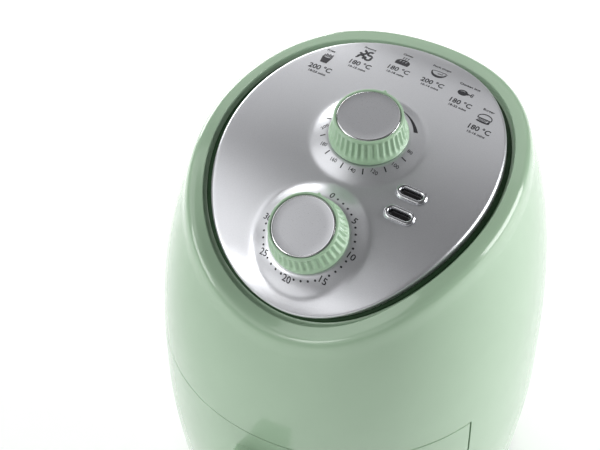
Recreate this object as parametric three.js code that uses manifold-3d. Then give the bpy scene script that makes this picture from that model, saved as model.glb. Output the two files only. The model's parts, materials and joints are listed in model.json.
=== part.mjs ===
// Compact hot-air fryer: egg-shaped housing, curved control panel with two dials, a pull-out pan with a
// frying rack, and the heater, fan, thermostat and timer that it needs inside.
// Millimetres. +Z is up, the drawer opens towards -Y, and X = 0 is the plane of symmetry.

import * as THREE from 'three';
import { mergeVertices } from 'three/addons/utils/BufferGeometryUtils.js';
import Module from 'manifold-3d';

const wasm = await Module();
wasm.setup();

// ---------- driving dimensions ----------

// Small gap kept between pieces that touch, and the play round anything that moves.
const GAP = 0.3;
const PLAY = 0.8;

// Housing: an oval body, widest at the belly, that rolls over a soft rim into the panel groove.
const BELLY = { halfWidth: 106.8, halfDepth: 113.3, height: 97 };
const BASE_SCALE = 0.91;
const HOUSING_BOTTOM = 5;
// How far outside the groove the rim's crest and shoulder lie, at the sides and at the ends, and how high.
// At the front the rim is softer: both lie further in and lower there.
const RIM_CREST = { side: 6.6, end: 8.8, rise: -1.4, frontIn: 1.8, frontDrop: 1.9 };
const RIM_SHOULDER = { side: 11.6, end: 12.8, rise: -14.6, frontIn: 0.6, frontDrop: 0.6 };
const WALL = 2.6;

// Control panel: one curve from front to back, with a slight crown from side to side. Its tilt is a cubic of
// the distance along the curve from the temperature dial, positive towards the front, in radians.
const PANEL_TILT = [0.0663, 0.002886, 0.00000234, 0.000000484];
const TEMP_DIAL = { y: 12.8, z: 260 };
const DIAL_SPACING = 68;
const PLATE = { halfWidth: 75.8, halfLength: 98.4, centre: 12.7, egg: -0.014, thickness: 4.4 };
// The plate's outline is leaner than an oval along its diagonals when this is over 1.
const PLATE_POWER = 1.037;
// How far the panel has fallen away at one millimetre from its centre line; it grows with the square.
const PANEL_CROWN = 0.000503;
const GROOVE = { width: 4.7, depth: 5, lip: 1 };
const LEDGE = { width: 6, thickness: 2.5 };

// Dials: a shallow cone on the panel carries each knob.
const CONE = { baseRadius: 31.7, topRadius: 22.6, height: 3.1 };
const KNOB = { radius: 21.75, topRadius: 18.9, height: 15.5, skirt: 2.4, flutes: 36, fluteDepth: 0.9 };
const CAP = { radius: 17.2, thickness: 1.4 };
const SPINDLE_RADIUS = 3;
const CARRIER = { lift: -10.4, thickness: 2 };

// Indicator lights: two pills, one behind the other, to the right of the space between the dials.
const PILL = { length: 17, width: 8.6, rim: 1.4, x: 37.4, along: 30.1, pitch: 14.2 };

// Drawer: front panel cut from the housing's own skin, non-stick pan behind it.
const DRAWER = { top: 137, bottom: 13, sidesAt: -46, seam: 0.8 };
const PAN_CORE = { x: 32, front: -48, back: 32 };
const PAN = { footRadius: 38, mouthRadius: 44, bottom: 19, top: 121, wall: 1.5 };
const CHAMBER = { radius: 50, bottom: 14, top: 141, wall: 1.5, front: -43 };
const RACK = { radius: 35.4, bottom: 29, thickness: 2 };
const HANDLE = { halfWidth: 15, top: 123, bottom: 46, reach: 155, grip: 14, root: 96, arm: 17 };
const handleScrews = [[-7, 110.5], [7, 110.5]];

// Hot-air side, on the vertical axis through the middle of the body.
const DOME = { radius: 66, flange: 74, top: 168, wall: 1.2 };
const HEATER = { z: 149, tube: 3, inner: 46, outer: 57, from: 12, to: 342, legTop: 176 };
const FAN = { radius: 37, z: 155, blades: 8, bladeHeight: 8 };
const COOLING_FAN = { radius: 30, z: 171.5, blades: 6, bladeHeight: 6 };
const SHAFT_RADIUS = 3;
const DECK = { z: 183, thickness: 2 };
const MOTOR = { bottom: 190, top: 206, left: -22, right: 34, halfY: 20, rotor: 11 };

// Controls that hang from the carrier, measured along each dial's axis from the panel's face.
const CONTROLS = {
  thermostat: { halfX: 16, halfY: 14, low: -26, high: -11.4 },
  timer: { halfX: 21, halfY: 18, low: -34, high: -13.4 },
};
const CAPILLARY = { deckHole: { x: -56, y: 28 } };
const SWITCH = { z: 100, plunger: 2, tip: 75.8, body: 82.6 };

const FEET = { radius: 9, x: 60, y: 64, height: 5 };
const baseScrews = [[-40, -30], [40, -30], [40, 50], [-40, 50]];
const ROUND = 44;

// ---------- colours and finishes ----------

const finish = (color, roughness, metalness) =>
  new THREE.MeshStandardMaterial({ color, roughness, metalness });
const GREEN_GLOSS = finish(0xb4d6b6, 0.25, 0);
const SILVER_PAINT = finish(0xb6b7bc, 0.4, 0.6);
const SATIN_SILVER = finish(0xaaacb0, 0.35, 0.8);
const BRIGHT_STEEL = finish(0xd5d7da, 0.25, 1);
const DARK_LENS = finish(0x1c1c20, 0.3, 0);
const NON_STICK = finish(0x2a2a2c, 0.55, 0);
const GREY_PLASTIC = finish(0x77787a, 0.6, 0);
const BLACK_PLASTIC = finish(0x202122, 0.5, 0);
const RUBBER = finish(0x262626, 0.85, 0);
const ZINC_STEEL = finish(0xa8abad, 0.45, 0.9);
const COPPER = finish(0xb06a3b, 0.4, 0.9);
const BRASS = finish(0xc2a35a, 0.35, 1);

// ---------- joins and cuts ----------

function toSolid(geometry) {
  const bare = geometry.clone();
  bare.deleteAttribute('normal');
  bare.deleteAttribute('uv');
  const merged = mergeVertices(bare, 1e-4);
  const mesh = new wasm.Mesh({
    numProp: 3,
    vertProperties: new Float32Array(merged.attributes.position.array),
    triVerts: new Uint32Array(merged.index.array),
  });
  return new wasm.Manifold(mesh);
}

function toGeometry(solid) {
  const mesh = solid.getMesh();
  const geometry = new THREE.BufferGeometry();
  geometry.setAttribute('position', new THREE.BufferAttribute(new Float32Array(mesh.vertProperties), 3));
  geometry.setIndex(new THREE.BufferAttribute(new Uint32Array(mesh.triVerts), 1));
  geometry.computeVertexNormals();
  return geometry;
}

const cut = (geometry, ...tools) =>
  toGeometry(tools.reduce((solid, tool) => solid.subtract(toSolid(tool)), toSolid(geometry)));
const join = (geometry, ...others) =>
  toGeometry(others.reduce((solid, other) => solid.add(toSolid(other)), toSolid(geometry)));
const common = (geometry, ...others) =>
  toGeometry(others.reduce((solid, other) => solid.intersect(toSolid(other)), toSolid(geometry)));

// ---------- basic shapes ----------

// A closed body through rings of equal point count, capped at both ends.
function loft(rings) {
  const n = rings[0].length;
  const points = rings.flat();
  const index = [];
  for (let i = 0; i < rings.length - 1; i++) {
    for (let j = 0; j < n; j++) {
      const k = (j + 1) % n;
      const [low, high] = [i * n, (i + 1) * n];
      index.push(low + j, low + k, high + k, low + j, high + k, high + j);
    }
  }
  capRing(points, index, 0, n, true);
  capRing(points, index, (rings.length - 1) * n, n, false);
  return outward(points, index);
}

function capRing(points, index, start, n, first) {
  const centre = new THREE.Vector3();
  for (let j = 0; j < n; j++) {
    centre.add(points[start + j]);
  }
  points.push(centre.divideScalar(n));
  for (let j = 0; j < n; j++) {
    const a = start + j;
    const b = start + ((j + 1) % n);
    index.push(points.length - 1, first ? b : a, first ? a : b);
  }
}

// Turns every face over when the body would otherwise be inside out.
function outward(points, index) {
  let volume = 0;
  for (let i = 0; i < index.length; i += 3) {
    const [a, b, c] = [points[index[i]], points[index[i + 1]], points[index[i + 2]]];
    volume += a.dot(new THREE.Vector3().crossVectors(b, c));
  }
  if (volume < 0) {
    index.reverse();
  }
  const geometry = new THREE.BufferGeometry().setFromPoints(points);
  geometry.setIndex(index);
  geometry.computeVertexNormals();
  return geometry;
}

const block = (x0, x1, y0, y1, z0, z1) =>
  new THREE.BoxGeometry(x1 - x0, y1 - y0, z1 - z0).translate((x0 + x1) / 2, (y0 + y1) / 2, (z0 + z1) / 2);

// An upright cylinder or cone frustum from z0 to z1.
const drum = (radius, z0, z1, x = 0, y = 0, topRadius = radius, sides = 20) =>
  new THREE.CylinderGeometry(topRadius, radius, z1 - z0, sides)
    .rotateX(Math.PI / 2)
    .translate(x, y, (z0 + z1) / 2);

const washer = (outer, inner, z0, z1, x = 0, y = 0, sides = 20) =>
  cut(drum(outer, z0, z1, x, y, outer, sides), drum(inner, z0 - 1, z1 + 1, x, y, inner, sides));

// The same along Y, from y0 to y1, at height z.
const drumAlongY = (radius, y0, y1, x, z, sides = 16) =>
  drum(radius, y0, y1, 0, 0, radius, sides).rotateX(-Math.PI / 2).translate(x, 0, z);

// A ring turned round Z from a closed profile of [radius, height] points.
const turned = (profile, sides = 24) =>
  new THREE.LatheGeometry(profile.map(([r, z]) => new THREE.Vector2(r, z)), sides).rotateX(Math.PI / 2);

// A flat outline raised from z0 to z1.
const raise = (shape, z0, z1, curveSegments = 5) =>
  new THREE.ExtrudeGeometry(shape, { depth: z1 - z0, bevelEnabled: false, curveSegments })
    .translate(0, 0, z0);

const polygon = (radius, sides) =>
  new THREE.Shape(
    Array.from({ length: sides }, (_, i) => {
      const angle = (2 * Math.PI * i) / sides;
      return new THREE.Vector2(radius * Math.cos(angle), radius * Math.sin(angle));
    }),
  );

function pill(length, width) {
  const r = width / 2;
  const straight = length / 2 - r;
  const shape = new THREE.Shape();
  shape.absarc(straight, 0, r, -Math.PI / 2, Math.PI / 2);
  shape.absarc(-straight, 0, r, Math.PI / 2, (3 * Math.PI) / 2);
  return shape;
}

// A level ring round the pan's core rectangle: a rectangle with round corners of the given radius.
function coreRing(radius, z, perCorner = 5) {
  const corners = [
    [PAN_CORE.x, PAN_CORE.front, -90],
    [PAN_CORE.x, PAN_CORE.back, 0],
    [-PAN_CORE.x, PAN_CORE.back, 90],
    [-PAN_CORE.x, PAN_CORE.front, 180],
  ];
  return corners.flatMap(([x, y, start]) =>
    Array.from({ length: perCorner + 1 }, (_, i) => {
      const angle = THREE.MathUtils.degToRad(start + (90 * i) / perCorner);
      return new THREE.Vector3(x + radius * Math.cos(angle), y + radius * Math.sin(angle), z);
    }),
  );
}

// ---------- the panel's surface and the housing's skin ----------

const tiltAt = (s) => PANEL_TILT.reduce((sum, coefficient, power) => sum + coefficient * s ** power, 0);

// The panel's centre line, s along it from the temperature dial towards the front.
function panelLine(s) {
  const steps = 32;
  const h = s / steps;
  let { y, z } = TEMP_DIAL;
  for (let i = 0; i < steps; i++) {
    const tilt = tiltAt((i + 0.5) * h);
    y -= Math.cos(tilt) * h;
    z -= Math.sin(tilt) * h;
  }
  return { y, z, tilt: tiltAt(s) };
}

// A point over the panel: s along it, x across it, lift above it.
function overPanel(s, x, lift) {
  const { y, z, tilt } = panelLine(s);
  const rise = lift - PANEL_CROWN * x * x;
  return new THREE.Vector3(x, y - Math.sin(tilt) * rise, z + Math.cos(tilt) * rise);
}

const angles = Array.from({ length: ROUND }, (_, i) => (2 * Math.PI * i) / ROUND);

// The plate's outline, widened by offset and shrunk towards its middle by share, as a ring at the given lift.
const panelRing = (offset, lift, share = 1) =>
  angles.map((a) => {
    const along = Math.sign(Math.cos(a)) * Math.abs(Math.cos(a)) ** PLATE_POWER;
    const across = Math.sign(Math.sin(a)) * Math.abs(Math.sin(a)) ** PLATE_POWER;
    const s = PLATE.centre + share * (PLATE.halfLength + offset) * along;
    const x = share * (PLATE.halfWidth + offset) * across * (1 + PLATE.egg * along);
    return overPanel(s, x, lift);
  });

const SHARES = [0.78, 0.52, 0.26];

// How many bands the skin has from base to belly, belly to shoulder, shoulder to crest and crest to groove.
const SKIN_STEPS = [3, 4, 2, 3];

// A slab that follows the panel, from one lift to another.
const panelSlab = (offset, low, high) =>
  loft([
    ...SHARES.toReversed().map((share) => panelRing(offset, low, share)),
    panelRing(offset, low),
    panelRing(offset, high),
    ...SHARES.map((share) => panelRing(offset, high, share)),
  ]);

// The body's oval at a height, inset from the outer skin.
const oval = (scale, z, inset) =>
  angles.map(
    (a) =>
      new THREE.Vector3(
        (scale * BELLY.halfWidth - inset) * Math.sin(a),
        -(scale * BELLY.halfDepth - inset) * Math.cos(a),
        z,
      ),
  );

// The groove's outer edge, pushed outwards and raised.
const rimRing = ({ side, end, rise, frontIn, frontDrop }) =>
  panelRing(GROOVE.width, -GROOVE.lip).map((p, i) => {
    const front = Math.max(0, Math.cos(angles[i])) ** 2;
    const outwards = -(end - front * frontIn) * Math.cos(angles[i]);
    return p.clone().add(new THREE.Vector3(side * Math.sin(angles[i]), outwards, rise - front * frontDrop));
  });

// Rings of the outer skin from the base to the groove: a smooth curve up each meridian.
function skinRings(steps) {
  const knots = [
    oval(BASE_SCALE, HOUSING_BOTTOM, 0),
    oval(1, BELLY.height, 0),
    rimRing(RIM_SHOULDER),
    rimRing(RIM_CREST),
    panelRing(GROOVE.width, -GROOVE.lip),
  ];
  const meridians = angles.map(
    (_, i) => new THREE.CatmullRomCurve3(knots.map((ring) => ring[i]), false, 'chordal'),
  );
  const at = steps.flatMap((count, span) => Array.from({ length: count }, (_, i) => (span + i / count) / 4));
  return [...at, 1].map((t) => meridians.map((curve) => curve.getPoint(t)));
}

const outerSkin = () =>
  loft([...skinRings(SKIN_STEPS), ...SHARES.map((share) => panelRing(GROOVE.width, -GROOVE.lip, share))]);

// The same rings moved in along the surface's normal.
const insetRings = (rings, inset) =>
  rings.map((ring, i) =>
    ring.map((p, j) => {
      const up = rings[Math.min(i + 1, rings.length - 1)][j].clone().sub(rings[Math.max(i - 1, 0)][j]);
      const around = ring[(j + 1) % ROUND].clone().sub(ring[(j + ROUND - 1) % ROUND]);
      return p.clone().addScaledVector(around.cross(up).normalize(), -inset);
    }),
  );

// The hollow inside the skin, from below the base up to the underside of the panel's ledge.
function innerSpace(inset) {
  const toShoulder = SKIN_STEPS[0] + SKIN_STEPS[1] + 1;
  const rings = insetRings(skinRings(SKIN_STEPS), inset).slice(0, toShoulder);
  const roof = -(GROOVE.depth + LEDGE.thickness);
  const edge = GROOVE.width + 4 - inset;
  rings[0].forEach((p) => p.setZ(0));
  return loft([...rings, panelRing(edge, roof), ...SHARES.map((share) => panelRing(edge, roof, share))]);
}

// ---------- the scene graph ----------

const assembly = new THREE.Group();

function add(name, geometry, material, group = assembly) {
  const mesh = new THREE.Mesh(geometry, material);
  mesh.name = name;
  group.add(mesh);
  return mesh;
}

// A group that stands on the panel at s, its Z along the panel's outward normal.
function standOnPanel(s) {
  const { y, z, tilt } = panelLine(s);
  const group = new THREE.Group();
  group.position.set(0, y, z);
  group.rotation.x = tilt;
  assembly.add(group);
  return group;
}

// Brings a shape made in a panel-standing frame into the body's frame.
function placeOnPanel(geometry, s, x = 0) {
  const place = overPanel(s, x, 0);
  return geometry.rotateX(tiltAt(s)).translate(place.x, place.y, place.z);
}

// ---------- housing ----------

const REAR_VENT = { halfWidth: 26, low: 186, high: 216 };
const GLAND = { radius: 7, z: 36 };
const BACK_OF_BODY = 130;

function drawerWindow(margin) {
  const side = BELLY.halfWidth + 20;
  const front = -(BELLY.halfDepth + 20);
  return block(-side, side, front, DRAWER.sidesAt - margin, DRAWER.bottom + margin, DRAWER.top - margin);
}

function buildHousing() {
  const skin = cut(outerSkin(), panelSlab(GROOVE.width, -GROOVE.depth, 6), innerSpace(WALL));
  const open = cut(skin, panelSlab(-LEDGE.width, -14, 0));
  const { halfWidth, low, high } = REAR_VENT;
  const vent = block(-halfWidth, halfWidth, 60, BACK_OF_BODY, low, high);
  const glandHole = drumAlongY(GLAND.radius, 60, BACK_OF_BODY, 0, GLAND.z, 24);
  const housing = cut(open, vent, glandHole, drawerWindow(0));
  add('outer_housing', housing, GREEN_GLOSS);
}

// Exhaust grille: a slatted plate that fills the vent at the back.
function buildRearVent() {
  const { halfWidth, low, high } = REAR_VENT;
  const plate = block(-halfWidth + GAP, halfWidth - GAP, 60, BACK_OF_BODY, low + GAP, high - GAP);
  const slats = [];
  for (let z = low + 4.5; z < high - 4; z += 5.4) {
    slats.push(block(-halfWidth + 4, halfWidth - 4, 60, BACK_OF_BODY, z, z + 2.6));
  }
  const shell = cut(outerSkin(), innerSpace(WALL));
  add('rear_vent_grille', cut(common(shell, plate), ...slats), GREY_PLASTIC);
}

// Inlet bush for the lead, with a flange on each side of the wall.
function buildCordGland() {
  const back = BASE_SCALE * BELLY.halfDepth + 6.6;
  const profile = [
    [2.6, back - 14],
    [GLAND.radius - 0.5, back - 14],
    [GLAND.radius - 0.5, back + 0.8],
    [GLAND.radius + 2, back + 0.8],
    [GLAND.radius + 1.4, back + 4],
    [2.6, back + 4],
    [2.6, back - 14],
  ];
  const gland = new THREE.LatheGeometry(profile.map(([r, y]) => new THREE.Vector2(r, y)), 16);
  add('cord_gland', gland.translate(0, 0, GLAND.z), BLACK_PLASTIC);
}

function buildBase() {
  const low = FEET.height + GAP;
  const tray = loft([oval(BASE_SCALE, low, WALL + GAP), oval(BASE_SCALE, low + 3, WALL + GAP)]);
  const slots = [];
  for (let x = -20; x <= 20; x += 10) {
    slots.push(block(x - 2, x + 2, -20, 20, 0, 20));
  }
  const screwHoles = baseScrews.map(([x, y]) => drum(1.5 + GAP, 0, 20, x, y, 1.5 + GAP, 12));
  add('base_cover', cut(tray, ...slots, ...screwHoles), BLACK_PLASTIC);
  for (const [i, [sx, sy]] of [[-1, -1], [1, -1], [1, 1], [-1, 1]].entries()) {
    const foot = drum(FEET.radius - 1.2, 0, FEET.height, sx * FEET.x, sy * FEET.y, FEET.radius);
    add(`rubber_foot_${i + 1}`, foot, RUBBER);
  }
}

// ---------- control panel ----------

// A shallow cone that grows out of the panel at a dial: its foot follows the panel and its top is level.
function knobCone(dial) {
  const { y, z, tilt } = panelLine(dial);
  const { baseRadius, topRadius, height } = CONE;
  const turns = Array.from({ length: 28 }, (_, i) => (Math.PI * i) / 14);
  const foot = (lift) =>
    turns.map((a) => overPanel(dial + baseRadius * Math.cos(a), baseRadius * Math.sin(a), lift));
  const top = turns.map((a) =>
    new THREE.Vector3(topRadius * Math.sin(a), -topRadius * Math.cos(a), height)
      .applyEuler(new THREE.Euler(tilt, 0, 0))
      .add(new THREE.Vector3(0, y, z)));
  return loft([foot(-3), foot(-1.2), top]);
}

const spindleHole = (s) => placeOnPanel(drum(SPINDLE_RADIUS + 1, -20, 20), s);

const pillPlaces = [0, 1].map((i) => PILL.along + (i - 0.5) * PILL.pitch);

const pillHole = (s) => placeOnPanel(raise(pill(PILL.length, PILL.width), -20, 20), s, PILL.x);

function buildPanel() {
  const plate = panelSlab(0, -PLATE.thickness, 0);
  const raised = join(plate, knobCone(0), knobCone(DIAL_SPACING));
  const holes = [spindleHole(0), spindleHole(DIAL_SPACING), ...pillPlaces.map(pillHole)];
  add('control_panel', cut(raised, ...holes), SILVER_PAINT);
}

// Two chromed pills that stand proud of the panel, each round a dark lens with a lamp under it.
function buildIndicators() {
  for (const [i, s] of pillPlaces.entries()) {
    const outer = raise(pill(PILL.length - 2 * GAP, PILL.width - 2 * GAP), -4, 1.5);
    const window_ = raise(pill(PILL.length - 2 * PILL.rim - 1.6, PILL.width - 2 * PILL.rim - 1.6), -10, 10);
    const lens = raise(pill(PILL.length - 2 * PILL.rim - 2.4, PILL.width - 2 * PILL.rim - 2.4), -4, 0.4);
    add(`indicator_bezel_${i + 1}`, placeOnPanel(cut(outer, window_), s, PILL.x), SATIN_SILVER);
    add(`indicator_lens_${i + 1}`, placeOnPanel(lens, s, PILL.x), DARK_LENS);
    const lamp = drum(1.8, -8, -4.6, 0, 0, 1.8, 12);
    add(`indicator_lamp_${i + 1}`, placeOnPanel(lamp, s, PILL.x), DARK_LENS);
  }
}

// The frame under the panel that the thermostat and the timer hang from.
function buildCarrier() {
  const plate = panelSlab(2, CARRIER.lift, CARRIER.lift + CARRIER.thickness);
  const holes = [spindleHole(0), spindleHole(DIAL_SPACING)];
  add('control_carrier', cut(plate, ...holes), GREY_PLASTIC);
}

// ---------- knobs ----------

// A level ring whose radius swells and sinks with the flutes.
const flutedRing = (radius, depth, z) =>
  Array.from({ length: KNOB.flutes * 2 }, (_, i) => {
    const angle = (Math.PI * i) / KNOB.flutes;
    const r = radius - (i % 2 ? depth : 0);
    return new THREE.Vector3(r * Math.sin(angle), r * Math.cos(angle), z);
  });

function knobBody() {
  const base = CONE.height + 0.5;
  const top = base + KNOB.height;
  const skirtTop = base + KNOB.skirt;
  const body = loft([
    flutedRing(KNOB.radius, 0, base),
    flutedRing(KNOB.radius, 0, skirtTop),
    flutedRing(KNOB.topRadius, KNOB.fluteDepth, top - 0.8),
    flutedRing(KNOB.topRadius - 0.9, 0, top),
  ]);
  const capSeat = drum(CAP.radius + GAP, top - CAP.thickness - GAP, top + 5, 0, 0, CAP.radius + GAP, 32);
  const socket = drum(SPINDLE_RADIUS + GAP, -1, base + 11);
  const recess = washer(KNOB.radius - 2.6, 7, -1, base + 8, 0, 0, 16);
  return cut(body, capSeat, socket, recess);
}

function buildKnob(name, s, spindleEnd) {
  const group = standOnPanel(s);
  const top = CONE.height + 0.5 + KNOB.height;
  add(`${name}_body`, knobBody(), GREEN_GLOSS, group);
  const cap = drum(CAP.radius, top - CAP.thickness, top - 0.5, 0, 0, CAP.radius, 32);
  const bevel = drum(CAP.radius, top - 0.5, top, 0, 0, CAP.radius - 0.6, 32);
  add(`${name}_cap`, join(cap, bevel), SATIN_SILVER, group);
  add(`${name}_spindle`, drum(SPINDLE_RADIUS, spindleEnd, CONE.height + 11), BRASS, group);
}

// ---------- drawer, pan and rack ----------

function buildDrawerFront() {
  const shell = cut(outerSkin(), innerSpace(WALL));
  const front = common(shell, drawerWindow(DRAWER.seam));
  const holes = handleScrews.map(([x, z]) => drumAlongY(1.6 + GAP, -130, -90, x, z));
  add('drawer_front', cut(front, ...holes), GREEN_GLOSS);
}

const panSolid = (grow) =>
  loft([
    coreRing(PAN.footRadius - 4 + grow, PAN.bottom - grow),
    coreRing(PAN.footRadius + grow, PAN.bottom + 4),
    coreRing(PAN.mouthRadius + grow, PAN.top + grow),
  ]);

function buildPan() {
  const hollow = loft([
    coreRing(PAN.footRadius - 4 - PAN.wall, PAN.bottom + PAN.wall),
    coreRing(PAN.footRadius - PAN.wall, PAN.bottom + 4 + PAN.wall),
    coreRing(PAN.mouthRadius - PAN.wall, PAN.top + 1),
  ]);
  const rim = loft([coreRing(PAN.mouthRadius + 2, PAN.top - 1.6), coreRing(PAN.mouthRadius + 2, PAN.top)]);
  add('drawer_pan', cut(join(panSolid(0), rim), hollow), NON_STICK);
}

// The block that ties the pan's front wall to the drawer front.
function buildDrawerBracket() {
  const bar = block(-26, 26, -120, -80, 60, 104);
  const bracket = cut(common(bar, innerSpace(WALL + GAP)), panSolid(GAP));
  const front = block(-60, 60, -130, -92, 40, 130);
  add('drawer_bracket', common(bracket, front), GREY_PLASTIC);
}

// The housing's front on the plane of symmetry, at a height.
function frontAt(height) {
  const meridian = skinRings([12, 12, 4, 4]).map((ring) => ring[0]);
  const above = meridian.findIndex((p) => p.z >= height);
  const [a, b] = [meridian[above - 1], meridian[above]];
  return THREE.MathUtils.mapLinear(height, a.z, b.z, a.y, b.y);
}

// Side view of the hook, as [y, z]: an arm out from the drawer front and a grip down from its end.
function handleProfile() {
  const { top, bottom, reach, grip, root, arm } = HANDLE;
  const outer = -reach;
  const inner = outer + grip;
  const shape = new THREE.Shape();
  shape.moveTo(-root, top);
  shape.lineTo(outer + 16, top);
  shape.quadraticCurveTo(outer, top, outer, top - 16);
  shape.lineTo(outer + 3, bottom + 7);
  shape.quadraticCurveTo(outer + 3, bottom, inner - 4, bottom);
  shape.quadraticCurveTo(inner + 3, bottom, inner + 3, bottom + 7);
  shape.lineTo(inner, top - arm - 8);
  shape.quadraticCurveTo(inner, top - arm, inner + 8, top - arm);
  shape.lineTo(-root, top - arm);
  return shape;
}

// Extrudes a side view, drawn as [y, z], across X.
const acrossX = (shape, halfWidth, curveSegments) =>
  raise(shape, -halfWidth, halfWidth, curveSegments).applyMatrix4(
    new THREE.Matrix4().makeBasis(
      new THREE.Vector3(0, 1, 0),
      new THREE.Vector3(0, 0, 1),
      new THREE.Vector3(1, 0, 0),
    ),
  );

function buildHandle() {
  const { halfWidth, top, reach, grip, arm } = HANDLE;
  const hook = acrossX(handleProfile(), halfWidth, 5);
  const clearance = outerSkin().translate(0, -GAP, 0);
  const seat = { side: halfWidth - 4, low: 60, high: top - arm - 14, back: -reach + grip };
  const pocket = block(-seat.side, seat.side, seat.back - 3, seat.back + 9, seat.low, seat.high);
  const holes = handleScrews.map(([x, z]) => drumAlongY(1.6 + GAP, -130, -95, x, z));
  add('handle_outer', cut(hook, clearance, pocket, ...holes), GREEN_GLOSS);
  const side = seat.side - GAP;
  const liner = block(-side, side, seat.back - 3 + GAP, seat.back + 0.4, seat.low + GAP, seat.high - GAP);
  add('handle_liner', liner, GREY_PLASTIC);
}

// Two screws from inside the drawer front into the handle's arm.
function buildHandleScrews() {
  for (const [i, [x, z]] of handleScrews.entries()) {
    const inside = frontAt(z) + WALL + 1;
    const shank = drumAlongY(1.6, inside - 14, inside + 0.5, x, z, 12);
    const head = drumAlongY(3, inside, inside + 2, x, z, 12);
    add(`handle_screw_${i + 1}`, join(shank, head), ZINC_STEEL);
  }
}

function rackSlot(x, length) {
  const slot = new THREE.Shape();
  slot.absarc(x, length / 2, 2.2, 0, Math.PI);
  slot.absarc(x, -length / 2, 2.2, Math.PI, 2 * Math.PI);
  return slot;
}

// Slotted plate that holds the food off the floor of the pan, on four soft bumpers.
function buildRack() {
  const { radius, bottom, thickness } = RACK;
  const middle = (PAN_CORE.front + PAN_CORE.back) / 2;
  const plate = loft([coreRing(radius, bottom, 4), coreRing(radius, bottom + thickness, 4)]);
  const slots = [-42, -28, -14, 14, 28, 42].map((x) =>
    raise(rackSlot(x, 112 - Math.abs(x)), 0, 60, 2).translate(0, middle, 0));
  const lifting = drum(9, 0, 60, 0, middle, 9, 16);
  add('frying_rack', cut(plate, ...slots, lifting), NON_STICK);
  const out = 22;
  const places = [
    [PAN_CORE.x + out, middle],
    [-PAN_CORE.x - out, middle],
    [0, PAN_CORE.front - out],
    [0, PAN_CORE.back + out],
  ];
  for (const [i, [x, y]] of places.entries()) {
    const bumper = drum(4.5, PAN.bottom + PAN.wall + GAP, bottom - GAP, x, y, 5.5, 12);
    add(`rack_bumper_${i + 1}`, bumper, RUBBER);
  }
}

// ---------- cooking chamber and hot-air side ----------

function buildChamber() {
  const { radius, bottom, top, wall, front } = CHAMBER;
  const box = loft([coreRing(radius, bottom), coreRing(radius, top)]);
  const hollow = loft([coreRing(radius - wall, bottom + wall), coreRing(radius - wall, top - wall)]);
  const mouth = block(-100, 100, -120, front + GAP, 0, 200);
  const airHole = drum(DOME.radius - 1, top - 10, top + 10, 0, 0, DOME.radius - 1, 32);
  const switchHole = drumAlongY(SWITCH.plunger + PLAY, 60, 100, 0, SWITCH.z);
  const screwHoles = baseScrews.map(([x, y]) => drum(1.5 + GAP, 0, bottom + 10, x, y, 1.5 + GAP, 12));
  add('cooking_chamber', cut(box, hollow, mouth, airHole, switchHole, ...screwHoles), ZINC_STEEL);
}

// Closes the space between the chamber and the housing, round the drawer's way in.
function buildBulkhead() {
  const { front, bottom, top } = CHAMBER;
  const slab = block(-120, 120, front - 2, front, bottom - 0.6, top);
  const side = PAN_CORE.x + CHAMBER.radius - 2;
  const way = block(-side, side, -60, -30, bottom + 2, top - 4);
  add('front_bulkhead', cut(common(slab, innerSpace(WALL + GAP)), way), GREY_PLASTIC);
}

function buildDome() {
  const { radius, flange, top, wall } = DOME;
  const low = CHAMBER.top + GAP;
  const hole = SHAFT_RADIUS + 3;
  const profile = [
    [flange, low], [flange, low + wall], [radius, low + wall], [radius, top], [hole, top],
    [hole, top - wall], [radius - wall, top - wall], [radius - wall, low], [flange, low],
  ];
  const clear = HEATER.tube + 1;
  const legs = heaterLegs().map(({ x, y }) => drum(clear, top - 5, top + 5, x, y, clear, 12));
  add('heater_dome', cut(turned(profile), ...legs), ZINC_STEEL);
}

const polar = (radius, degrees, z) =>
  new THREE.Vector3(
    radius * Math.cos(THREE.MathUtils.degToRad(degrees)),
    radius * Math.sin(THREE.MathUtils.degToRad(degrees)),
    z,
  );

const heaterLegs = () => [polar(HEATER.outer, HEATER.from, 0), polar(HEATER.inner, HEATER.from, 0)];

// A tube that goes once round, turns back on itself, and returns, with both ends up through the dome.
function buildHeater() {
  const { inner, outer, from, to, z, legTop, tube } = HEATER;
  const round = Array.from({ length: 12 }, (_, i) => from + 10 + ((to - from - 10) * i) / 11);
  const legs = (radius) => [
    polar(radius, from, legTop),
    polar(radius, from, z + 12),
    polar(radius, from + 1, z + 5),
  ];
  const route = [
    ...legs(outer),
    ...round.map((degrees) => polar(outer, degrees, z)),
    polar((inner + outer) / 2, to + 6, z),
    ...round.toReversed().map((degrees) => polar(inner, degrees, z)),
    ...legs(inner).toReversed(),
  ];
  const section = polygon(tube, 6);
  const path = new THREE.CatmullRomCurve3(route);
  const geometry = new THREE.ExtrudeGeometry(section, { steps: 56, extrudePath: path });
  add('heating_element', geometry, ZINC_STEEL);
}

function sector(inner, outer, start, end) {
  const steps = 2;
  const arc = (radius) =>
    Array.from({ length: steps + 1 }, (_, i) => {
      const angle = start + ((end - start) * i) / steps;
      return new THREE.Vector2(radius * Math.cos(angle), radius * Math.sin(angle));
    });
  return new THREE.Shape([...arc(outer), ...arc(inner).toReversed()]);
}

// Pressed grid under the heater: two rings of open sectors.
function buildGuard() {
  const sectors = 6;
  const low = CHAMBER.top + GAP;
  const openings = [[14, 36], [40, 60]].flatMap(([inner, outer]) =>
    Array.from({ length: sectors }, (_, i) => {
      const start = (2 * Math.PI * i) / sectors;
      return raise(sector(inner, outer, start, start + (2 * Math.PI) / sectors - 0.1), low - 5, low + 5);
    }),
  );
  const radius = DOME.radius - DOME.wall - GAP - 0.4;
  add('element_guard', cut(drum(radius, low, low + 1, 0, 0, radius, 24), ...openings), ZINC_STEEL);
}

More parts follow.
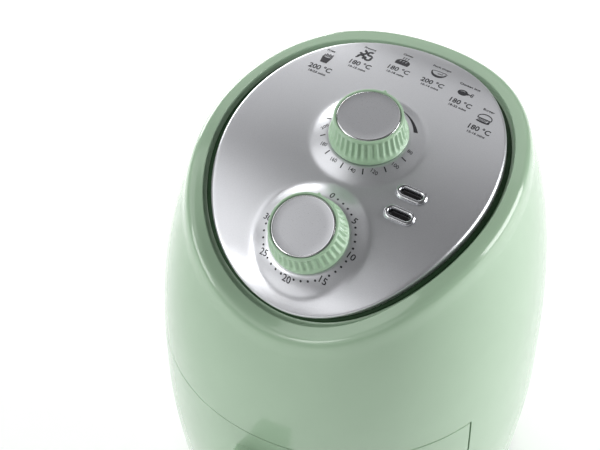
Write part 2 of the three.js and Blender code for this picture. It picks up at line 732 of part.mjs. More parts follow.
// A hub disc with upright blades, which leaves the shaft its hole.
function impeller({ radius, z, blades, bladeHeight }) {
  const disc = drum(radius, z, z + 1.2, 0, 0, radius, 24);
  const hub = drum(8, z, z + bladeHeight, 0, 0, 8, 16);
  const vanes = Array.from({ length: blades }, (_, i) =>
    block(6, radius - 1, -0.6, 0.6, z + 0.6, z + bladeHeight).rotateZ((2 * Math.PI * i) / blades));
  const bore = drum(SHAFT_RADIUS + GAP, z - 5, z + bladeHeight + 5, 0, 0, SHAFT_RADIUS + GAP, 16);
  return cut(join(disc, hub, ...vanes), bore);
}

function buildFan() {
  const tall = MOTOR.top - MOTOR.bottom;
  add('motor_shaft', drum(SHAFT_RADIUS, FAN.z - 3, MOTOR.top + 8, 0, 0, SHAFT_RADIUS, 16), BRIGHT_STEEL);
  add('hot_air_fan', impeller(FAN), ZINC_STEEL);
  add('cooling_fan', impeller(COOLING_FAN), BLACK_PLASTIC);
  const rotor = washer(MOTOR.rotor, SHAFT_RADIUS + GAP, MOTOR.bottom, MOTOR.bottom + tall, 0, 0, 20);
  add('motor_rotor', rotor, ZINC_STEEL);
}

// ---------- motor and its deck ----------

function buildDeck() {
  const slab = block(-130, 130, -130, 130, DECK.z, DECK.z + DECK.thickness);
  const airHole = drum(COOLING_FAN.radius + 1, DECK.z - 5, DECK.z + 5);
  const { x, y } = CAPILLARY.deckHole;
  const tubeHole = drum(4, DECK.z - 5, DECK.z + 5, x, y, 4, 12);
  add('mid_deck', cut(common(slab, innerSpace(WALL + GAP)), airHole, tubeHole), GREY_PLASTIC);
}

function buildMotor() {
  const { bottom, top, left, right, halfY, rotor } = MOTOR;
  const frame = block(left, right, -halfY, halfY, bottom, top);
  const bore = drum(rotor + PLAY, bottom - 5, top + 5, 0, 0, rotor + PLAY, 20);
  const leg = { from: 25, halfWindow: 12 };
  const window_ = block(15, leg.from, -leg.halfWindow, leg.halfWindow, bottom - 5, top + 5);
  add('motor_stator', cut(frame, bore, window_), ZINC_STEEL);
  const coil = block(16, right + 9, -11, 11, bottom - 3, top + 3);
  const core = block(leg.from - GAP, right + GAP, -20, 20, bottom - GAP, top + GAP);
  add('motor_winding', cut(coil, core), COPPER);
  const deckTop = DECK.z + DECK.thickness + GAP;
  buildMotorBridge('lower', bottom - 3.4, deckTop, 39);
  buildMotorBridge('upper', top + 1, top + GAP, 18);
}

// A strap across the motor that carries one bearing, with a foot under each end.
function buildMotorBridge(place, low, footLow, reach) {
  const bearing = 7;
  const strap = block(-9, 9, -reach, reach, low, low + 1.6);
  const feet = [-1, 1].map((side) => {
    const [near, far] = [side * (reach - 5), side * reach].sort((a, b) => a - b);
    return block(-9, 9, near, far, footLow, low + 1);
  });
  const seat = drum(bearing + GAP, low - 5, low + 5, 0, 0, bearing + GAP, 20);
  add(`motor_bridge_${place}`, cut(join(strap, ...feet), seat), ZINC_STEEL);
  add(`bearing_${place}`, washer(bearing, SHAFT_RADIUS + 0.2, low - 0.4, low + 2, 0, 0, 20), BRASS);
}

// ---------- thermostat, timer, switch ----------

function spindleBlock({ halfX, halfY, low, high }, socketDepth) {
  const body = block(-halfX, halfX, -halfY, halfY, low, high);
  return cut(body, drum(SPINDLE_RADIUS + GAP, high - socketDepth, high + 5, 0, 0, SPINDLE_RADIUS + GAP, 16));
}

function buildControls() {
  const { thermostat, timer } = CONTROLS;
  add('thermostat_body', placeOnPanel(spindleBlock(thermostat, 9), 0), ZINC_STEEL);
  add('timer_body', placeOnPanel(spindleBlock(timer, 9), DIAL_SPACING), ZINC_STEEL);
  const bell = turned([[1.6, -1], [1.6, -2.2], [10.8, -2.2], [10.8, -7], [12, -7], [12, -1], [1.6, -1]], 20);
  add('timer_bell', placeOnPanel(bell.translate(0, 0, timer.low - GAP), DIAL_SPACING), BRIGHT_STEEL);
}

// Sensing bulb on top of the dome, with its thin tube up through the deck to the thermostat.
function buildCapillary() {
  const { x, y } = CAPILLARY.deckHole;
  const top = DOME.top;
  const bulb = drumAlongY(2.6, -16, 16, -48, top + 3.4, 10);
  const route = [
    [-48, 12, top + 3.4],
    [-50, 22, top + 4],
    [x, y, DECK.z - 4],
    [x, y, DECK.z + 10],
    [-40, 24, 222],
    [-CONTROLS.thermostat.halfX - 3, 14, 240],
  ];
  const path = new THREE.CatmullRomCurve3(route.map((p) => new THREE.Vector3(...p)));
  const section = polygon(0.9, 5);
  const tube = new THREE.ExtrudeGeometry(section, { steps: 16, extrudePath: path });
  add('thermostat_bulb', join(bulb, tube), COPPER);
}

// Drawer switch behind the chamber, with a plunger that the pan's back wall faces.
function buildSwitch() {
  const { z, plunger, body } = SWITCH;
  const box = block(-10, 10, body, body + 11, z - 7, z + 7);
  add('micro_switch', cut(box, drumAlongY(plunger + PLAY, body - 5, body + 8, 0, z, 16)), BLACK_PLASTIC);
  add('switch_plunger', drumAlongY(plunger, SWITCH.tip, body + 4, 0, z, 16), RUBBER);
}

function buildBaseScrews() {
  const head = FEET.height - 1.6;
  for (const [i, [x, y]] of baseScrews.entries()) {
    const shank = drum(1.5, head, CHAMBER.bottom + 4, x, y, 1.5, 12);
    const screw = join(shank, drum(3, head - 0.4, head + 1.4, x, y, 3, 12));
    add(`base_screw_${i + 1}`, screw, ZINC_STEEL);
  }
}

// ---------- assembly ----------

buildHousing();
buildRearVent();
buildCordGland();
buildBase();
buildBaseScrews();
buildPanel();
buildIndicators();
buildCarrier();
buildKnob('temp_knob', 0, CONTROLS.thermostat.high - 7);
buildKnob('timer_knob', DIAL_SPACING, CONTROLS.timer.high - 7);
buildDrawerFront();
buildPan();
buildDrawerBracket();
buildHandle();
buildHandleScrews();
buildRack();
buildChamber();
buildBulkhead();
buildDome();
buildHeater();
buildGuard();
buildFan();
buildDeck();
buildMotor();
buildControls();
buildCapillary();
buildSwitch();

// The origin is on the floor, under the middle of the whole fryer.
const extent = new THREE.Box3().setFromObject(assembly);
assembly.position.y = -(extent.min.y + extent.max.y) / 2;

export default assembly;
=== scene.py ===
"""Looks of the compact hot-air fryer. Shapes are worked out in millimetres in the body's own frame, whose
upright axis is x = 0, y = 0, and are moved to the row frame in metres when a mesh is made."""

import json
import math

import bmesh
import bpy
import numpy as np
from mathutils import Matrix, Vector, geometry


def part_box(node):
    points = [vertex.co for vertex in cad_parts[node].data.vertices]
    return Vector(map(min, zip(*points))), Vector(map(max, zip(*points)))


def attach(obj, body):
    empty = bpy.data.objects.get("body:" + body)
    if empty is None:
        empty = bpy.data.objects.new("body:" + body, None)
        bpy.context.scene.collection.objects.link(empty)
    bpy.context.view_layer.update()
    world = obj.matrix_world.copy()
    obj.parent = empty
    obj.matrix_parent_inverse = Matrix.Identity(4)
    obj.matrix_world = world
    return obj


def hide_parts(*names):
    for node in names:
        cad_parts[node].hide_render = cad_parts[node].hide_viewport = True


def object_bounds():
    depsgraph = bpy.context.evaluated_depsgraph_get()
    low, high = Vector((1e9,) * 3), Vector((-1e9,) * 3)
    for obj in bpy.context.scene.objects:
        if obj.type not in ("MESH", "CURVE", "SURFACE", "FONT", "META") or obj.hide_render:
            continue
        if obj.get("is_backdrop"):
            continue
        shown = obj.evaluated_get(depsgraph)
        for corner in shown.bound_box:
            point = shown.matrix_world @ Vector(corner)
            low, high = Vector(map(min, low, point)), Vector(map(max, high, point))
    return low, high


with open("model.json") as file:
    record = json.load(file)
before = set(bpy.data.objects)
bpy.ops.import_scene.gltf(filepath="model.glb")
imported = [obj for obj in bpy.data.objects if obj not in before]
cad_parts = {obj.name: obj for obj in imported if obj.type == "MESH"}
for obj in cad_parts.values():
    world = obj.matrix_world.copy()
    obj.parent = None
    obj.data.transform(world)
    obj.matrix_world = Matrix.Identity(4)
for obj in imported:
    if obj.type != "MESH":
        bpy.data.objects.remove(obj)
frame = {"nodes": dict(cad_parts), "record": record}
cad_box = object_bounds()

MM = 0.001
# The body's axis stands half-way between the front and the back feet.
SHIFT = np.array([0, (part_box("rubber_foot_1")[0].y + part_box("rubber_foot_3")[1].y) / 2 / MM, 0])

# ---------- dimensions shared with the CAD ----------

BELLY_X, BELLY_Y, BELLY_Z = 106.8, 113.3, 97.0
BASE_SCALE, BOTTOM = 0.91, 5.0
# The rim's crest and shoulder: how far outside the groove at the sides and the ends, and how high. The second
# of each pair is added towards the front, where the rim lies further in and lower.
CREST, CREST_FRONT = np.array([6.6, 8.8, -1.4]), np.array([0, -1.8, -1.9])
SHOULDER, SHOULDER_FRONT = np.array([11.6, 12.8, -14.6]), np.array([0, -0.6, -0.6])
WALL, WALL_ROUND = 2.6, 0.55
TILT = (0.0663, 0.002886, 0.00000234, 0.000000484)
DIAL_Y, DIAL_Z, DIAL_SPACING = 12.8, 260.0, 68.0
PLATE_X, PLATE_S, PLATE_CENTRE, PLATE_EGG, PLATE_POWER = 75.8, 98.4, 12.7, -0.014, 1.037
PLATE_THICK, PLATE_ROLL, CROWN = 4.4, 1.9, 0.000503
GROOVE_WIDE, GROOVE_DEEP, GROOVE_LIP = 4.7, 5.0, 1.0
LEDGE_WIDE, HOLLOW = 6.0, 1.2
CONE_BASE, CONE_TOP, CONE_HIGH = 31.7, 22.6, 3.1
WINDOW_SIDE, WINDOW_LOW, WINDOW_HIGH, SEAM = -46.0, 13.0, 137.0, 0.8
DIALS = (0.0, DIAL_SPACING)
PILL_X, PILL_ALONG, PILL_PITCH = 37.4, 30.1, 14.2


# ---------- the panel's surface ----------


def tilt_at(s):
    return sum(c * s**i for i, c in enumerate(TILT))


def panel_line(s):
    """Y, Z and tilt of the panel's centre line, s along it from the temperature dial to the front."""
    s = np.asarray(s, float)
    step = s / 32
    y = np.full(s.shape, DIAL_Y)
    z = np.full(s.shape, DIAL_Z)
    for i in range(32):
        tilt = tilt_at((i + 0.5) * step)
        y = y - np.cos(tilt) * step
        z = z - np.sin(tilt) * step
    return y, z, tilt_at(s)


def over_panel(s, x, lift):
    y, z, tilt = panel_line(s)
    lift = lift - CROWN * np.square(x)
    return np.stack(np.broadcast_arrays(x, y - np.sin(tilt) * lift, z + np.cos(tilt) * lift), axis=-1)


def outline(angle, offset, share=1.0):
    """(s, x) on the plate's outline, widened by offset and shrunk to share of its size."""
    power = lambda v: np.sign(v) * np.abs(v) ** PLATE_POWER
    along, across = power(np.cos(angle)), power(np.sin(angle))
    s = PLATE_CENTRE + share * (PLATE_S + offset) * along
    x = share * (PLATE_X + offset) * across * (1 + PLATE_EGG * along)
    return s, x


def panel_ring(angle, offset, lift, share=1.0):
    s, x = outline(angle, offset, share)
    return over_panel(s, x, lift)


def dial_frame(s):
    """Origin and axes (across, up the panel, outward) of the frame that stands on the panel at s."""
    y, z, tilt = (float(v) for v in panel_line(s))
    c, n = math.cos(tilt), math.sin(tilt)
    return np.array([0, y, z]), np.array([[1, 0, 0], [0, c, n], [0, -n, c]])


def stand(points, s, x=0.0):
    """Brings points from the frame that stands on the panel at s, moved across by x, into the body's."""
    _, axes = dial_frame(s)
    return np.asarray(points, float) @ axes + over_panel(s, x, 0)


def soft_max(a, b, blend):
    return (a + b + np.sqrt((a - b) ** 2 + blend**2)) / 2


def on_face(s, x, lift):
    """A point over the finished face of the panel, with its two shallow dial cones."""
    bare = over_panel(s, x, 0)
    made = over_panel(s, x, lift)
    for dial in DIALS:
        origin, axes = dial_frame(dial)
        local = (bare - origin) @ axes.T
        radius = np.hypot(local[..., 0], local[..., 1])
        share = (CONE_BASE - radius) / (CONE_BASE - CONE_TOP)
        share = soft_max(share, np.zeros_like(share), 0.12)
        share = -soft_max(-share, -np.ones_like(share), 0.05)
        rise = np.clip(share - 0.002, 0, 1) * (CONE_HIGH - local[..., 2])
        made = made + rise[..., None] * axes[2]
    return made


def from_dial(dial, up):
    """The s of points that stand the given distance up the panel from a dial, seen along its axis."""
    s = np.linspace(-85, 45, 261) + dial
    origin, axes = dial_frame(dial)
    along = (over_panel(s, np.zeros_like(s), 0) - origin) @ axes[1]
    return np.interp(-np.asarray(up), -along, s)


# ---------- the body's skin ----------


class Skin:
    """The body's outer skin along given meridians; angles count from the front (-Y) towards +X."""

    def __init__(self, angle):
        a = np.asarray(angle, float)
        out = np.stack([np.sin(a), -np.cos(a), np.zeros_like(a)], -1)
        up = np.array([0, 0, 1.0])
        oval = lambda scale, z: out * scale * np.array([BELLY_X, BELLY_Y, 0]) + up * z
        groove = panel_ring(a, GROOVE_WIDE, -GROOVE_LIP)
        front = np.clip(np.cos(a), 0, 1)[..., None] ** 2
        k = [
            oval(BASE_SCALE, BOTTOM),
            oval(1, BELLY_Z),
            groove + (out + up) * (SHOULDER + front * SHOULDER_FRONT),
            groove + (out + up) * (CREST + front * CREST_FRONT),
            groove,
        ]
        k = [2 * k[0] - k[1], *k, 2 * k[4] - k[3]]
        size = [np.linalg.norm(k[i + 1] - k[i], axis=-1, keepdims=True) for i in range(6)]
        self.spans = []
        for i in range(1, 5):
            p0, p1, p2, p3 = k[i - 1 : i + 3]
            d0, d1, d2 = size[i - 1 : i + 2]
            t1 = ((p1 - p0) / d0 - (p2 - p0) / (d0 + d1) + (p2 - p1) / d1) * d1
            t2 = ((p2 - p1) / d1 - (p3 - p1) / (d1 + d2) + (p3 - p2) / d2) * d1
            self.spans.append((p1, t1, -3 * p1 + 3 * p2 - 2 * t1 - t2, 2 * p1 - 2 * p2 + t1 + t2))

    def at(self, t):
        """Points at t, from 0 at the base to 1 at the groove, one value for each meridian."""
        t = np.broadcast_to(np.asarray(t, float), self.spans[0][0].shape[:-1])
        span = np.clip((t * 4).astype(int), 0, 3)
        w = (t * 4 - span)[..., None]
        made = np.zeros(t.shape + (3,))
        for i, (c0, c1, c2, c3) in enumerate(self.spans):
            here = (span == i)[..., None]
            made = np.where(here, c0 + w * (c1 + w * (c2 + w * c3)), made)
        return made

    def t_at(self, z):
        """The t below the shoulder at which each meridian is at height z."""
        low = np.zeros(self.spans[0][0].shape[:-1])
        high = np.full_like(low, 0.5)
        for _ in range(36):
            middle = (low + high) / 2
            under = self.at(middle)[..., 2] < z
            low = np.where(under, middle, low)
            high = np.where(under, high, middle)
        return (low + high) / 2

    def at_height(self, z):
        return self.at(self.t_at(z))


def side_angle(side, z):
    """The angle from the front at which the skin crosses y = side at height z."""
    a = np.radians(np.linspace(50, 80, 121))
    y = Skin(a).at_height(z)[:, 1]
    return float(np.interp(side, y, a))


# ---------- meshes ----------

# Points closer than the first become one, and faces thinner than the second go, in metres.
WELD, SLIVER = 2e-6, 1e-7


def add_object(name, data):
    """A new object in the scene."""
    made = bpy.data.objects.new(name, data)
    bpy.context.scene.collection.objects.link(made)
    return made


def solid(name, points, faces, smooth):
    """A mesh object from points in the body's frame in mm."""
    placed = (np.asarray(points, float) + SHIFT) * MM
    mesh = bpy.data.meshes.new(name)
    mesh.from_pydata(placed.tolist(), [], [list(map(int, f)) for f in faces])
    tidy(mesh, smooth)
    return add_object(name, mesh)


def make(name, points, faces, body, slot, smooth=50.0, materials=None):
    """A piece that rides on a CAD body, in the finish of its slot unless materials are given."""
    piece = solid(name, points, faces, smooth)
    for material in materials or [FINISHES[slot]]:
        piece.data.materials.append(material)
    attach(piece, body)
    return piece


def tidy(mesh, smooth):
    """Welds doubles, turns faces outward, and keeps only edges sharper than the angle as creases."""
    bm = bmesh.new()
    bm.from_mesh(mesh)
    bmesh.ops.remove_doubles(bm, verts=bm.verts, dist=WELD)
    bmesh.ops.dissolve_degenerate(bm, edges=bm.edges, dist=SLIVER)
    bmesh.ops.recalc_face_normals(bm, faces=bm.faces)
    for face in bm.faces:
        face.smooth = True
    for edge in bm.edges:
        if len(edge.link_faces) == 2:
            edge.smooth = edge.calc_face_angle(0) < math.radians(smooth)
    bm.to_mesh(mesh)
    bm.free()


def grid(rows, columns, wrapped=True, start=0, closed_rows=False):
    """Quads over rows of points; wrapped joins the last column to the first."""
    faces = []
    for i in range(rows if closed_rows else rows - 1):
        for j in range(columns if wrapped else columns - 1):
            k = (j + 1) % columns
            below, above = start + i * columns, start + ((i + 1) % rows) * columns
            faces.append((below + j, below + k, above + k, above + j))
    return faces


def loft(rings, caps=True):
    """Points and faces of a closed body through rings of equal count."""
    rows, columns = len(rings), len(rings[0])
    points = np.concatenate(rings)
    faces = grid(rows, columns)
    if caps:
        ends = [np.mean(rings[0], 0), np.mean(rings[-1], 0)]
        first, last = len(points), len(points) + 1
        points = np.concatenate([points, ends])
        top = (rows - 1) * columns
        for j in range(columns):
            k = (j + 1) % columns
            faces.append((first, k, j))
            faces.append((last, top + j, top + k))
    return points, faces


def lathe(profile, segments):
    """A body turned round Z from [radius, height] points that start and end on the axis."""
    angle = np.linspace(0, 2 * math.pi, segments, endpoint=False)
    rings = [
        np.stack([r * np.cos(angle), r * np.sin(angle), np.full(segments, z)], -1)
        for r, z in profile
        if r > 0
    ]
    points, faces = loft(rings)
    points[-2] = (0, 0, profile[0][1])
    points[-1] = (0, 0, profile[-1][1])
    return points, faces


def inside(points, loop):
    """Which points lie inside a closed loop, by the even-odd rule."""
    x, y = points[:, 0:1], points[:, 1:2]
    ax, ay = loop[:, 0], loop[:, 1]
    bx, by = np.roll(ax, -1), np.roll(ay, -1)
    spans = (ay > y) != (by > y)
    with np.errstate(divide="ignore", invalid="ignore"):
        crossing = (bx - ax) * (y - ay) / (by - ay) + ax
    return np.sum(spans & (x < crossing), axis=1) % 2 == 1


def fill(loop, holes=(), loose=None):
    """Triangles over a flat outline with holes and loose points inside it."""
    coords, edges = [], []
    for ring in [loop, *holes]:
        start, count = len(coords), len(ring)
        coords += [Vector(p) for p in ring]
        edges += [(start + i, start + (i + 1) % count) for i in range(count)]
    if loose is not None:
        coords += [Vector(p) for p in loose]
    found = geometry.delaunay_2d_cdt(coords, edges, [], 0, 1e-6)
    points = np.array([tuple(v) for v in found[0]])
    faces = np.array([list(f) for f in found[2]])
    middle = points[faces].mean(axis=1)
    keep = inside(middle, np.asarray(loop))
    for hole in holes:
        keep &= ~inside(middle, np.asarray(hole))
    return points, faces[keep]


def plate_faces(faces, count):
    """Closes flat faces to a plate, whose upper points come count after the lower ones."""
    faces = [tuple(int(v) for v in f) for f in faces]
    edges = dict.fromkeys(edge for f in faces for edge in zip(f, (*f[1:], f[0])))
    walls = [(a, b, b + count, a + count) for a, b in edges if (b, a) not in edges]
    return [f[::-1] for f in faces] + [tuple(v + count for v in f) for f in faces] + walls


def slab(loop, holes, low, high, lift=None, loose=None):
    """Points and faces of a plate with holes between two surfaces over the same outline."""
    flat, faces = fill(loop, holes, loose)
    lift = lift or (lambda p, z: np.column_stack([p, np.full(len(p), z)]))
    return np.concatenate([lift(flat, low), lift(flat, high)]), plate_faces(faces, len(flat))


def settle(piece):
    """Applies the piece's modifiers, so that its mesh is final."""
    graph = bpy.context.evaluated_depsgraph_get()
    mesh = bpy.data.meshes.new_from_object(piece.evaluated_get(graph), depsgraph=graph)
    piece.modifiers.clear()
    old = piece.data
    piece.data = mesh
    bpy.data.meshes.remove(old)


def round_edges(piece, width):
    """Rounds the edges sharper than 40 degrees, and settles the piece."""
    bevel = piece.modifiers.new("soft_edges", "BEVEL")
    bevel.width = width * MM
    bevel.segments = 2
    bevel.limit_method = "ANGLE"
    bevel.angle_limit = math.radians(40)
    bevel.harden_normals = True
    settle(piece)


def thicken(piece):
    """Gives a sheet the thickness of the wall, inwards."""
    shell = piece.modifiers.new("wall", "SOLIDIFY")
    shell.thickness = WALL * MM
    shell.offset = -1
    shell.use_even_offset = False


def ring_2d(length, width, count=18):
    """A pill's outline, as [across, up]."""
    r, straight = width / 2, max(length - width, 0) / 2
    right = np.linspace(-math.pi / 2, math.pi / 2, count)
    left = right + math.pi
    return np.concatenate(
        [
            np.column_stack([straight + r * np.cos(right), r * np.sin(right)]),
            np.column_stack([-straight + r * np.cos(left), r * np.sin(left)]),
        ]
    )


# ---------- materials ----------

# Most of a noise pattern's values lie between these two.
NOISE_LOW, NOISE_HIGH = 0.3, 0.7


def fill_in(node, values):
    """Sets the sockets of a node."""
    for socket, value in values.items():
        node.inputs[socket].default_value = value


def feed(tree, kind, source, socket, **values):
    """A new node with one socket fed by source and others set."""
    node = tree.nodes.new(kind)
    fill_in(node, values)
    tree.links.new(source, node.inputs[socket])
    return node


def shader(name, colour, rough, metal=0.0, coat=0.0, specular=0.5):
    """A material with its shader and its texture coordinates, which the callers build on."""
    material = bpy.data.materials.new(name)
    material.use_nodes = True
    tree = material.node_tree
    surface = tree.nodes["Principled BSDF"]
    values = {"Base Color": (*colour, 1), "Roughness": rough, "Metallic": metal, "Coat Weight": coat}
    fill_in(surface, values | {"Coat Roughness": 0.05, "Specular IOR Level": specular})
    place = tree.nodes.new("ShaderNodeTexCoord")
    return material, tree, surface, place.outputs["Object"]


def noise(tree, where, scale, detail=3.0, stretch=None):
    """A noise value, scale in features for each metre, stretched along an axis if asked."""
    if stretch:
        where = feed(tree, "ShaderNodeMapping", where, "Vector", Scale=stretch).outputs["Vector"]
    return feed(tree, "ShaderNodeTexNoise", where, "Vector", Scale=scale, Detail=detail).outputs["Fac"]


def spread(tree, value, low, high):
    """Maps a noise value to the range low..high."""
    ends = {"From Min": NOISE_LOW, "From Max": NOISE_HIGH, "To Min": low, "To Max": high}
    return feed(tree, "ShaderNodeMapRange", value, "Value", **ends).outputs["Result"]


def tint(tree, value, dark, light, low=NOISE_LOW, high=NOISE_HIGH):
    """Maps a value from low to high to a colour between two."""
    ramp = feed(tree, "ShaderNodeValToRGB", value, "Fac")
    for stop, place, colour in zip(ramp.color_ramp.elements, (low, high), (dark, light)):
        stop.position = place
        stop.color = (*colour, 1)
    return ramp.outputs["Color"]


def bump(tree, surface, value, strength, height):
    node = feed(tree, "ShaderNodeBump", value, "Height", Strength=strength, Distance=height * MM)
    tree.links.new(node.outputs["Normal"], surface.inputs["Normal"])


def shade(colour, factor):
    return tuple(min(1.0, c * factor) for c in colour)


def linear(r, g, b):
    """Scene-linear colour from display values out of 255."""
    part = lambda v: v / 12.92 if v <= 0.04045 else ((v + 0.055) / 1.055) ** 2.4
    return tuple(part(v / 255) for v in (r, g, b))


def moulded(name, colour, rough, vary=0.03, grain=900.0, depth=0.01, coat=0.0, specular=0.5):
    """Moulded plastic or rubber: a faint mottle, uneven gloss and a fine grain."""
    colour = linear(*colour)
    material, tree, surface, where = shader(name, colour, rough, coat=coat, specular=specular)
    mottle = noise(tree, where, 55, 4)
    colours = tint(tree, mottle, shade(colour, 1 - vary), shade(colour, 1 + vary))
    tree.links.new(colours, surface.inputs["Base Color"])
    wear = noise(tree, where, 160, 5)
    tree.links.new(spread(tree, wear, rough * 0.85, rough * 1.15), surface.inputs["Roughness"])
    bump(tree, surface, noise(tree, where, grain, 2), 0.25, depth)
    return material


def metal(name, colour, rough, stretch=None, grain=1500.0, vary=0.06, depth=0.004, metallic=1.0):
    """Bare or painted metal: fine brushing or flake in its colour, gloss and relief."""
    colour = linear(*colour)
    material, tree, surface, where = shader(name, colour, rough, metal=metallic)
    flake = noise(tree, where, grain, 3, stretch)
    colours = tint(tree, flake, shade(colour, 1 - vary), shade(colour, 1 + vary))
    tree.links.new(colours, surface.inputs["Base Color"])
    tree.links.new(spread(tree, flake, rough * 0.8, rough * 1.2), surface.inputs["Roughness"])
    bump(tree, surface, flake, 0.2, depth)
    return material


def non_stick_coating():
    """Dark coating with fine pale speckles and a satin, slightly pebbled surface."""
    base = linear(40, 40, 42)
    material, tree, surface, where = shader("non_stick_coating", base, 0.42)
    cells = feed(tree, "ShaderNodeTexVoronoi", where, "Vector", Scale=700)
    dots = tint(tree, cells.outputs["Distance"], linear(92, 92, 96), base, 0.12, 0.18)
    tree.links.new(dots, surface.inputs["Base Color"])
    pebble = noise(tree, where, 600, 3)
    tree.links.new(spread(tree, pebble, 0.36, 0.5), surface.inputs["Roughness"])
    bump(tree, surface, pebble, 0.3, 0.02)
    return material


FINISHES = {
    "green_gloss": moulded("green_gloss_plastic", (166, 194, 166), 0.2, 0.012, 700, 0.006, coat=0.5),
    "green_knob": moulded("green_knob_plastic", (170, 202, 170), 0.3, 0.015, 800, 0.006, coat=0.2),
    "silver_panel": metal("silver_panel_paint", (219, 220, 224), 0.36, None, 2600, 0.05, 0.003, 0.85),
    "satin_cap": metal("satin_cap_aluminium", (214, 215, 219), 0.34, (1, 14, 1), 900, 0.04, 0.002),
    "chrome_bezel": metal("chrome_bezel_satin", (214, 215, 219), 0.22, None, 1500, 0.03, 0.002),
    "dark_lens": moulded("dark_lens_smoked", (26, 25, 28), 0.16, 0.2, 500, 0.004, coat=0.4),
    "grey_plastic": moulded("grey_plastic_matt", (120, 121, 123), 0.55, 0.06, 1400, 0.02),
    "black_plastic": moulded("black_plastic_texture", (38, 38, 40), 0.5, 0.15, 1600, 0.03),
    "rubber": moulded("rubber_matt", (34, 34, 34), 0.85, 0.2, 1200, 0.03, specular=0.3),
    "non_stick": non_stick_coating(),
    "zinc_steel": metal("zinc_steel_sheet", (168, 171, 173), 0.42, None, 420, 0.09, 0.006),
    "heater_steel": metal("heater_steel_tinted", (92, 84, 80), 0.45, (1, 1, 3), 500, 0.2, 0.006),
    "bright_steel": metal("bright_steel_turned", (214, 216, 218), 0.22, (1, 1, 12), 1200, 0.04, 0.002),
    "brass": metal("brass_turned", (194, 164, 92), 0.3, (1, 1, 12), 1200, 0.05, 0.002),
    "copper": metal("copper_wound", (176, 104, 62), 0.35, (1, 10, 10), 900, 0.12, 0.01),
}
BEVEL_RING = metal("cap_bevel_polished", (225, 226, 228), 0.16, None, 1800, 0.03, 0.002)
PRINT_INK = moulded("print_ink_charcoal", (34, 34, 40), 0.5, 0.12, 2500, 0.004)
# The dark green strip in the panel's groove is painted shade, standing in for the shadow deep in the groove.
GROOVE_SHADE_PAINT = moulded("groove_painted_shade_dark", (32, 62, 34), 0.7, 0.2, 1200, 0.02, specular=0.3)


def finish_nodes():
    """Every CAD node takes the material of its slot; the builders below hide the ones that they replace."""
    for part in frame["record"]["subparts"]:
        node = frame["nodes"][part["node"]]
        node.data.materials.clear()
        node.data.materials.append(FINISHES[part["material_slot"]])


# ---------- housing and drawer front ----------

COLUMNS, WINDOW_COLUMN = 208, 38
# Rows below the drawer's window and beside it, and the height from which the columns turn straight again.
LOW_ROWS, WINDOW_ROWS, PLAIN = 5, 47, 150
VENT_X, VENT_LOW, VENT_HIGH = 26, 186, 216
INLET_Z, INLET_HOLE = 36, 7


def warped_angles(z, fade=1.0):
    """Meridian angles whose window column follows the window's side at height z."""
    base = 2 * math.pi * np.arange(COLUMNS) / COLUMNS
    signed = np.where(base > math.pi, base - 2 * math.pi, base)
    size = np.abs(signed)
    target = 2 * math.pi * WINDOW_COLUMN / COLUMNS
    shift = (side_angle(WINDOW_SIDE, z) - target) * fade
    near, far = math.radians(20), math.radians(120)
    weight = np.where(size < target, (size - near) / (target - near), (far - size) / (far - target))
    weight = np.clip(weight, 0, 1)
    weight = weight * weight * (3 - 2 * weight)
    return np.sign(signed) * (size + shift * weight)


def housing_rows():
    """Rows of the sheet from the base up the skin, over the rim and down to the ledge in the groove."""
    below = np.linspace(BOTTOM, WINDOW_LOW, LOW_ROWS + 1)
    beside = np.linspace(WINDOW_LOW, WINDOW_HIGH, WINDOW_ROWS + 1)[1:]
    above = np.linspace(WINDOW_HIGH, PLAIN, 6)[1:]
    rows = [Skin(warped_angles(z)).at_height(z) for z in (*below, *beside, *above)]
    # Steps count from the plain height to the shoulder, to the crest and nearly to the groove.
    for step in (*np.linspace(0, 1, 15)[1:], *np.linspace(1, 2, 18)[1:], *np.linspace(2, 2.96, 16)[1:]):
        skin = Skin(warped_angles(PLAIN, max(0.0, 1 - step)))
        start = skin.t_at(PLAIN)
        rows.append(skin.at(start + (0.5 - start) * min(step, 1) + 0.25 * max(0, step - 1)))
    angle = warped_angles(PLAIN, 0.0)
    edge = rows[-1]
    corner = panel_ring(angle, GROOVE_WIDE, -GROOVE_LIP - 0.1)
    end = panel_ring(angle, GROOVE_WIDE, -GROOVE_LIP - 1.0)
    for w in np.linspace(0, 1, 7)[1:]:
        rows.append((1 - w) ** 2 * edge + 2 * w * (1 - w) * corner + w * w * end)
    for turn in np.radians(np.linspace(0, 90, 7)):
        offset = GROOVE_WIDE - HOLLOW * (1 - math.cos(turn))
        rows.append(panel_ring(angle, offset, HOLLOW * (1 - math.sin(turn)) - GROOVE_DEEP))
    for offset in (0, -3, -LEDGE_WIDE):
        rows.append(panel_ring(angle, offset, -GROOVE_DEEP))
    return rows


def build_housing():
    rows = housing_rows()
    faces = []
    for n, face in enumerate(grid(len(rows), COLUMNS)):
        row, column = divmod(n, COLUMNS)
        front = column < WINDOW_COLUMN or column >= COLUMNS - WINDOW_COLUMN
        if not (front and LOW_ROWS <= row < LOW_ROWS + WINDOW_ROWS):
            faces.append(face)
    housing = make("housing_shell", np.concatenate(rows), faces, "housing", "green_gloss", 60)
    thicken(housing)
    round_edges(housing, WALL_ROUND)
    vent = solid("vent_cutter", *box_mesh(-VENT_X, VENT_X, 60, 130, VENT_LOW, VENT_HIGH), 30)
    bore = lathe([(0, 60), (INLET_HOLE, 60), (INLET_HOLE, 130), (0, 130)], 64)
    gland = solid("gland_cutter", *along_y(bore, INLET_Z), 30)
    for tool in (vent, gland):
        tool.hide_render = True
        cut = housing.modifiers.new(tool.name, "BOOLEAN")
        cut.operation = "DIFFERENCE"
        cut.solver = "EXACT"
        cut.object = tool
    settle(housing)
    for tool in (vent, gland):
        bpy.data.objects.remove(tool)
    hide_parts("outer_housing")


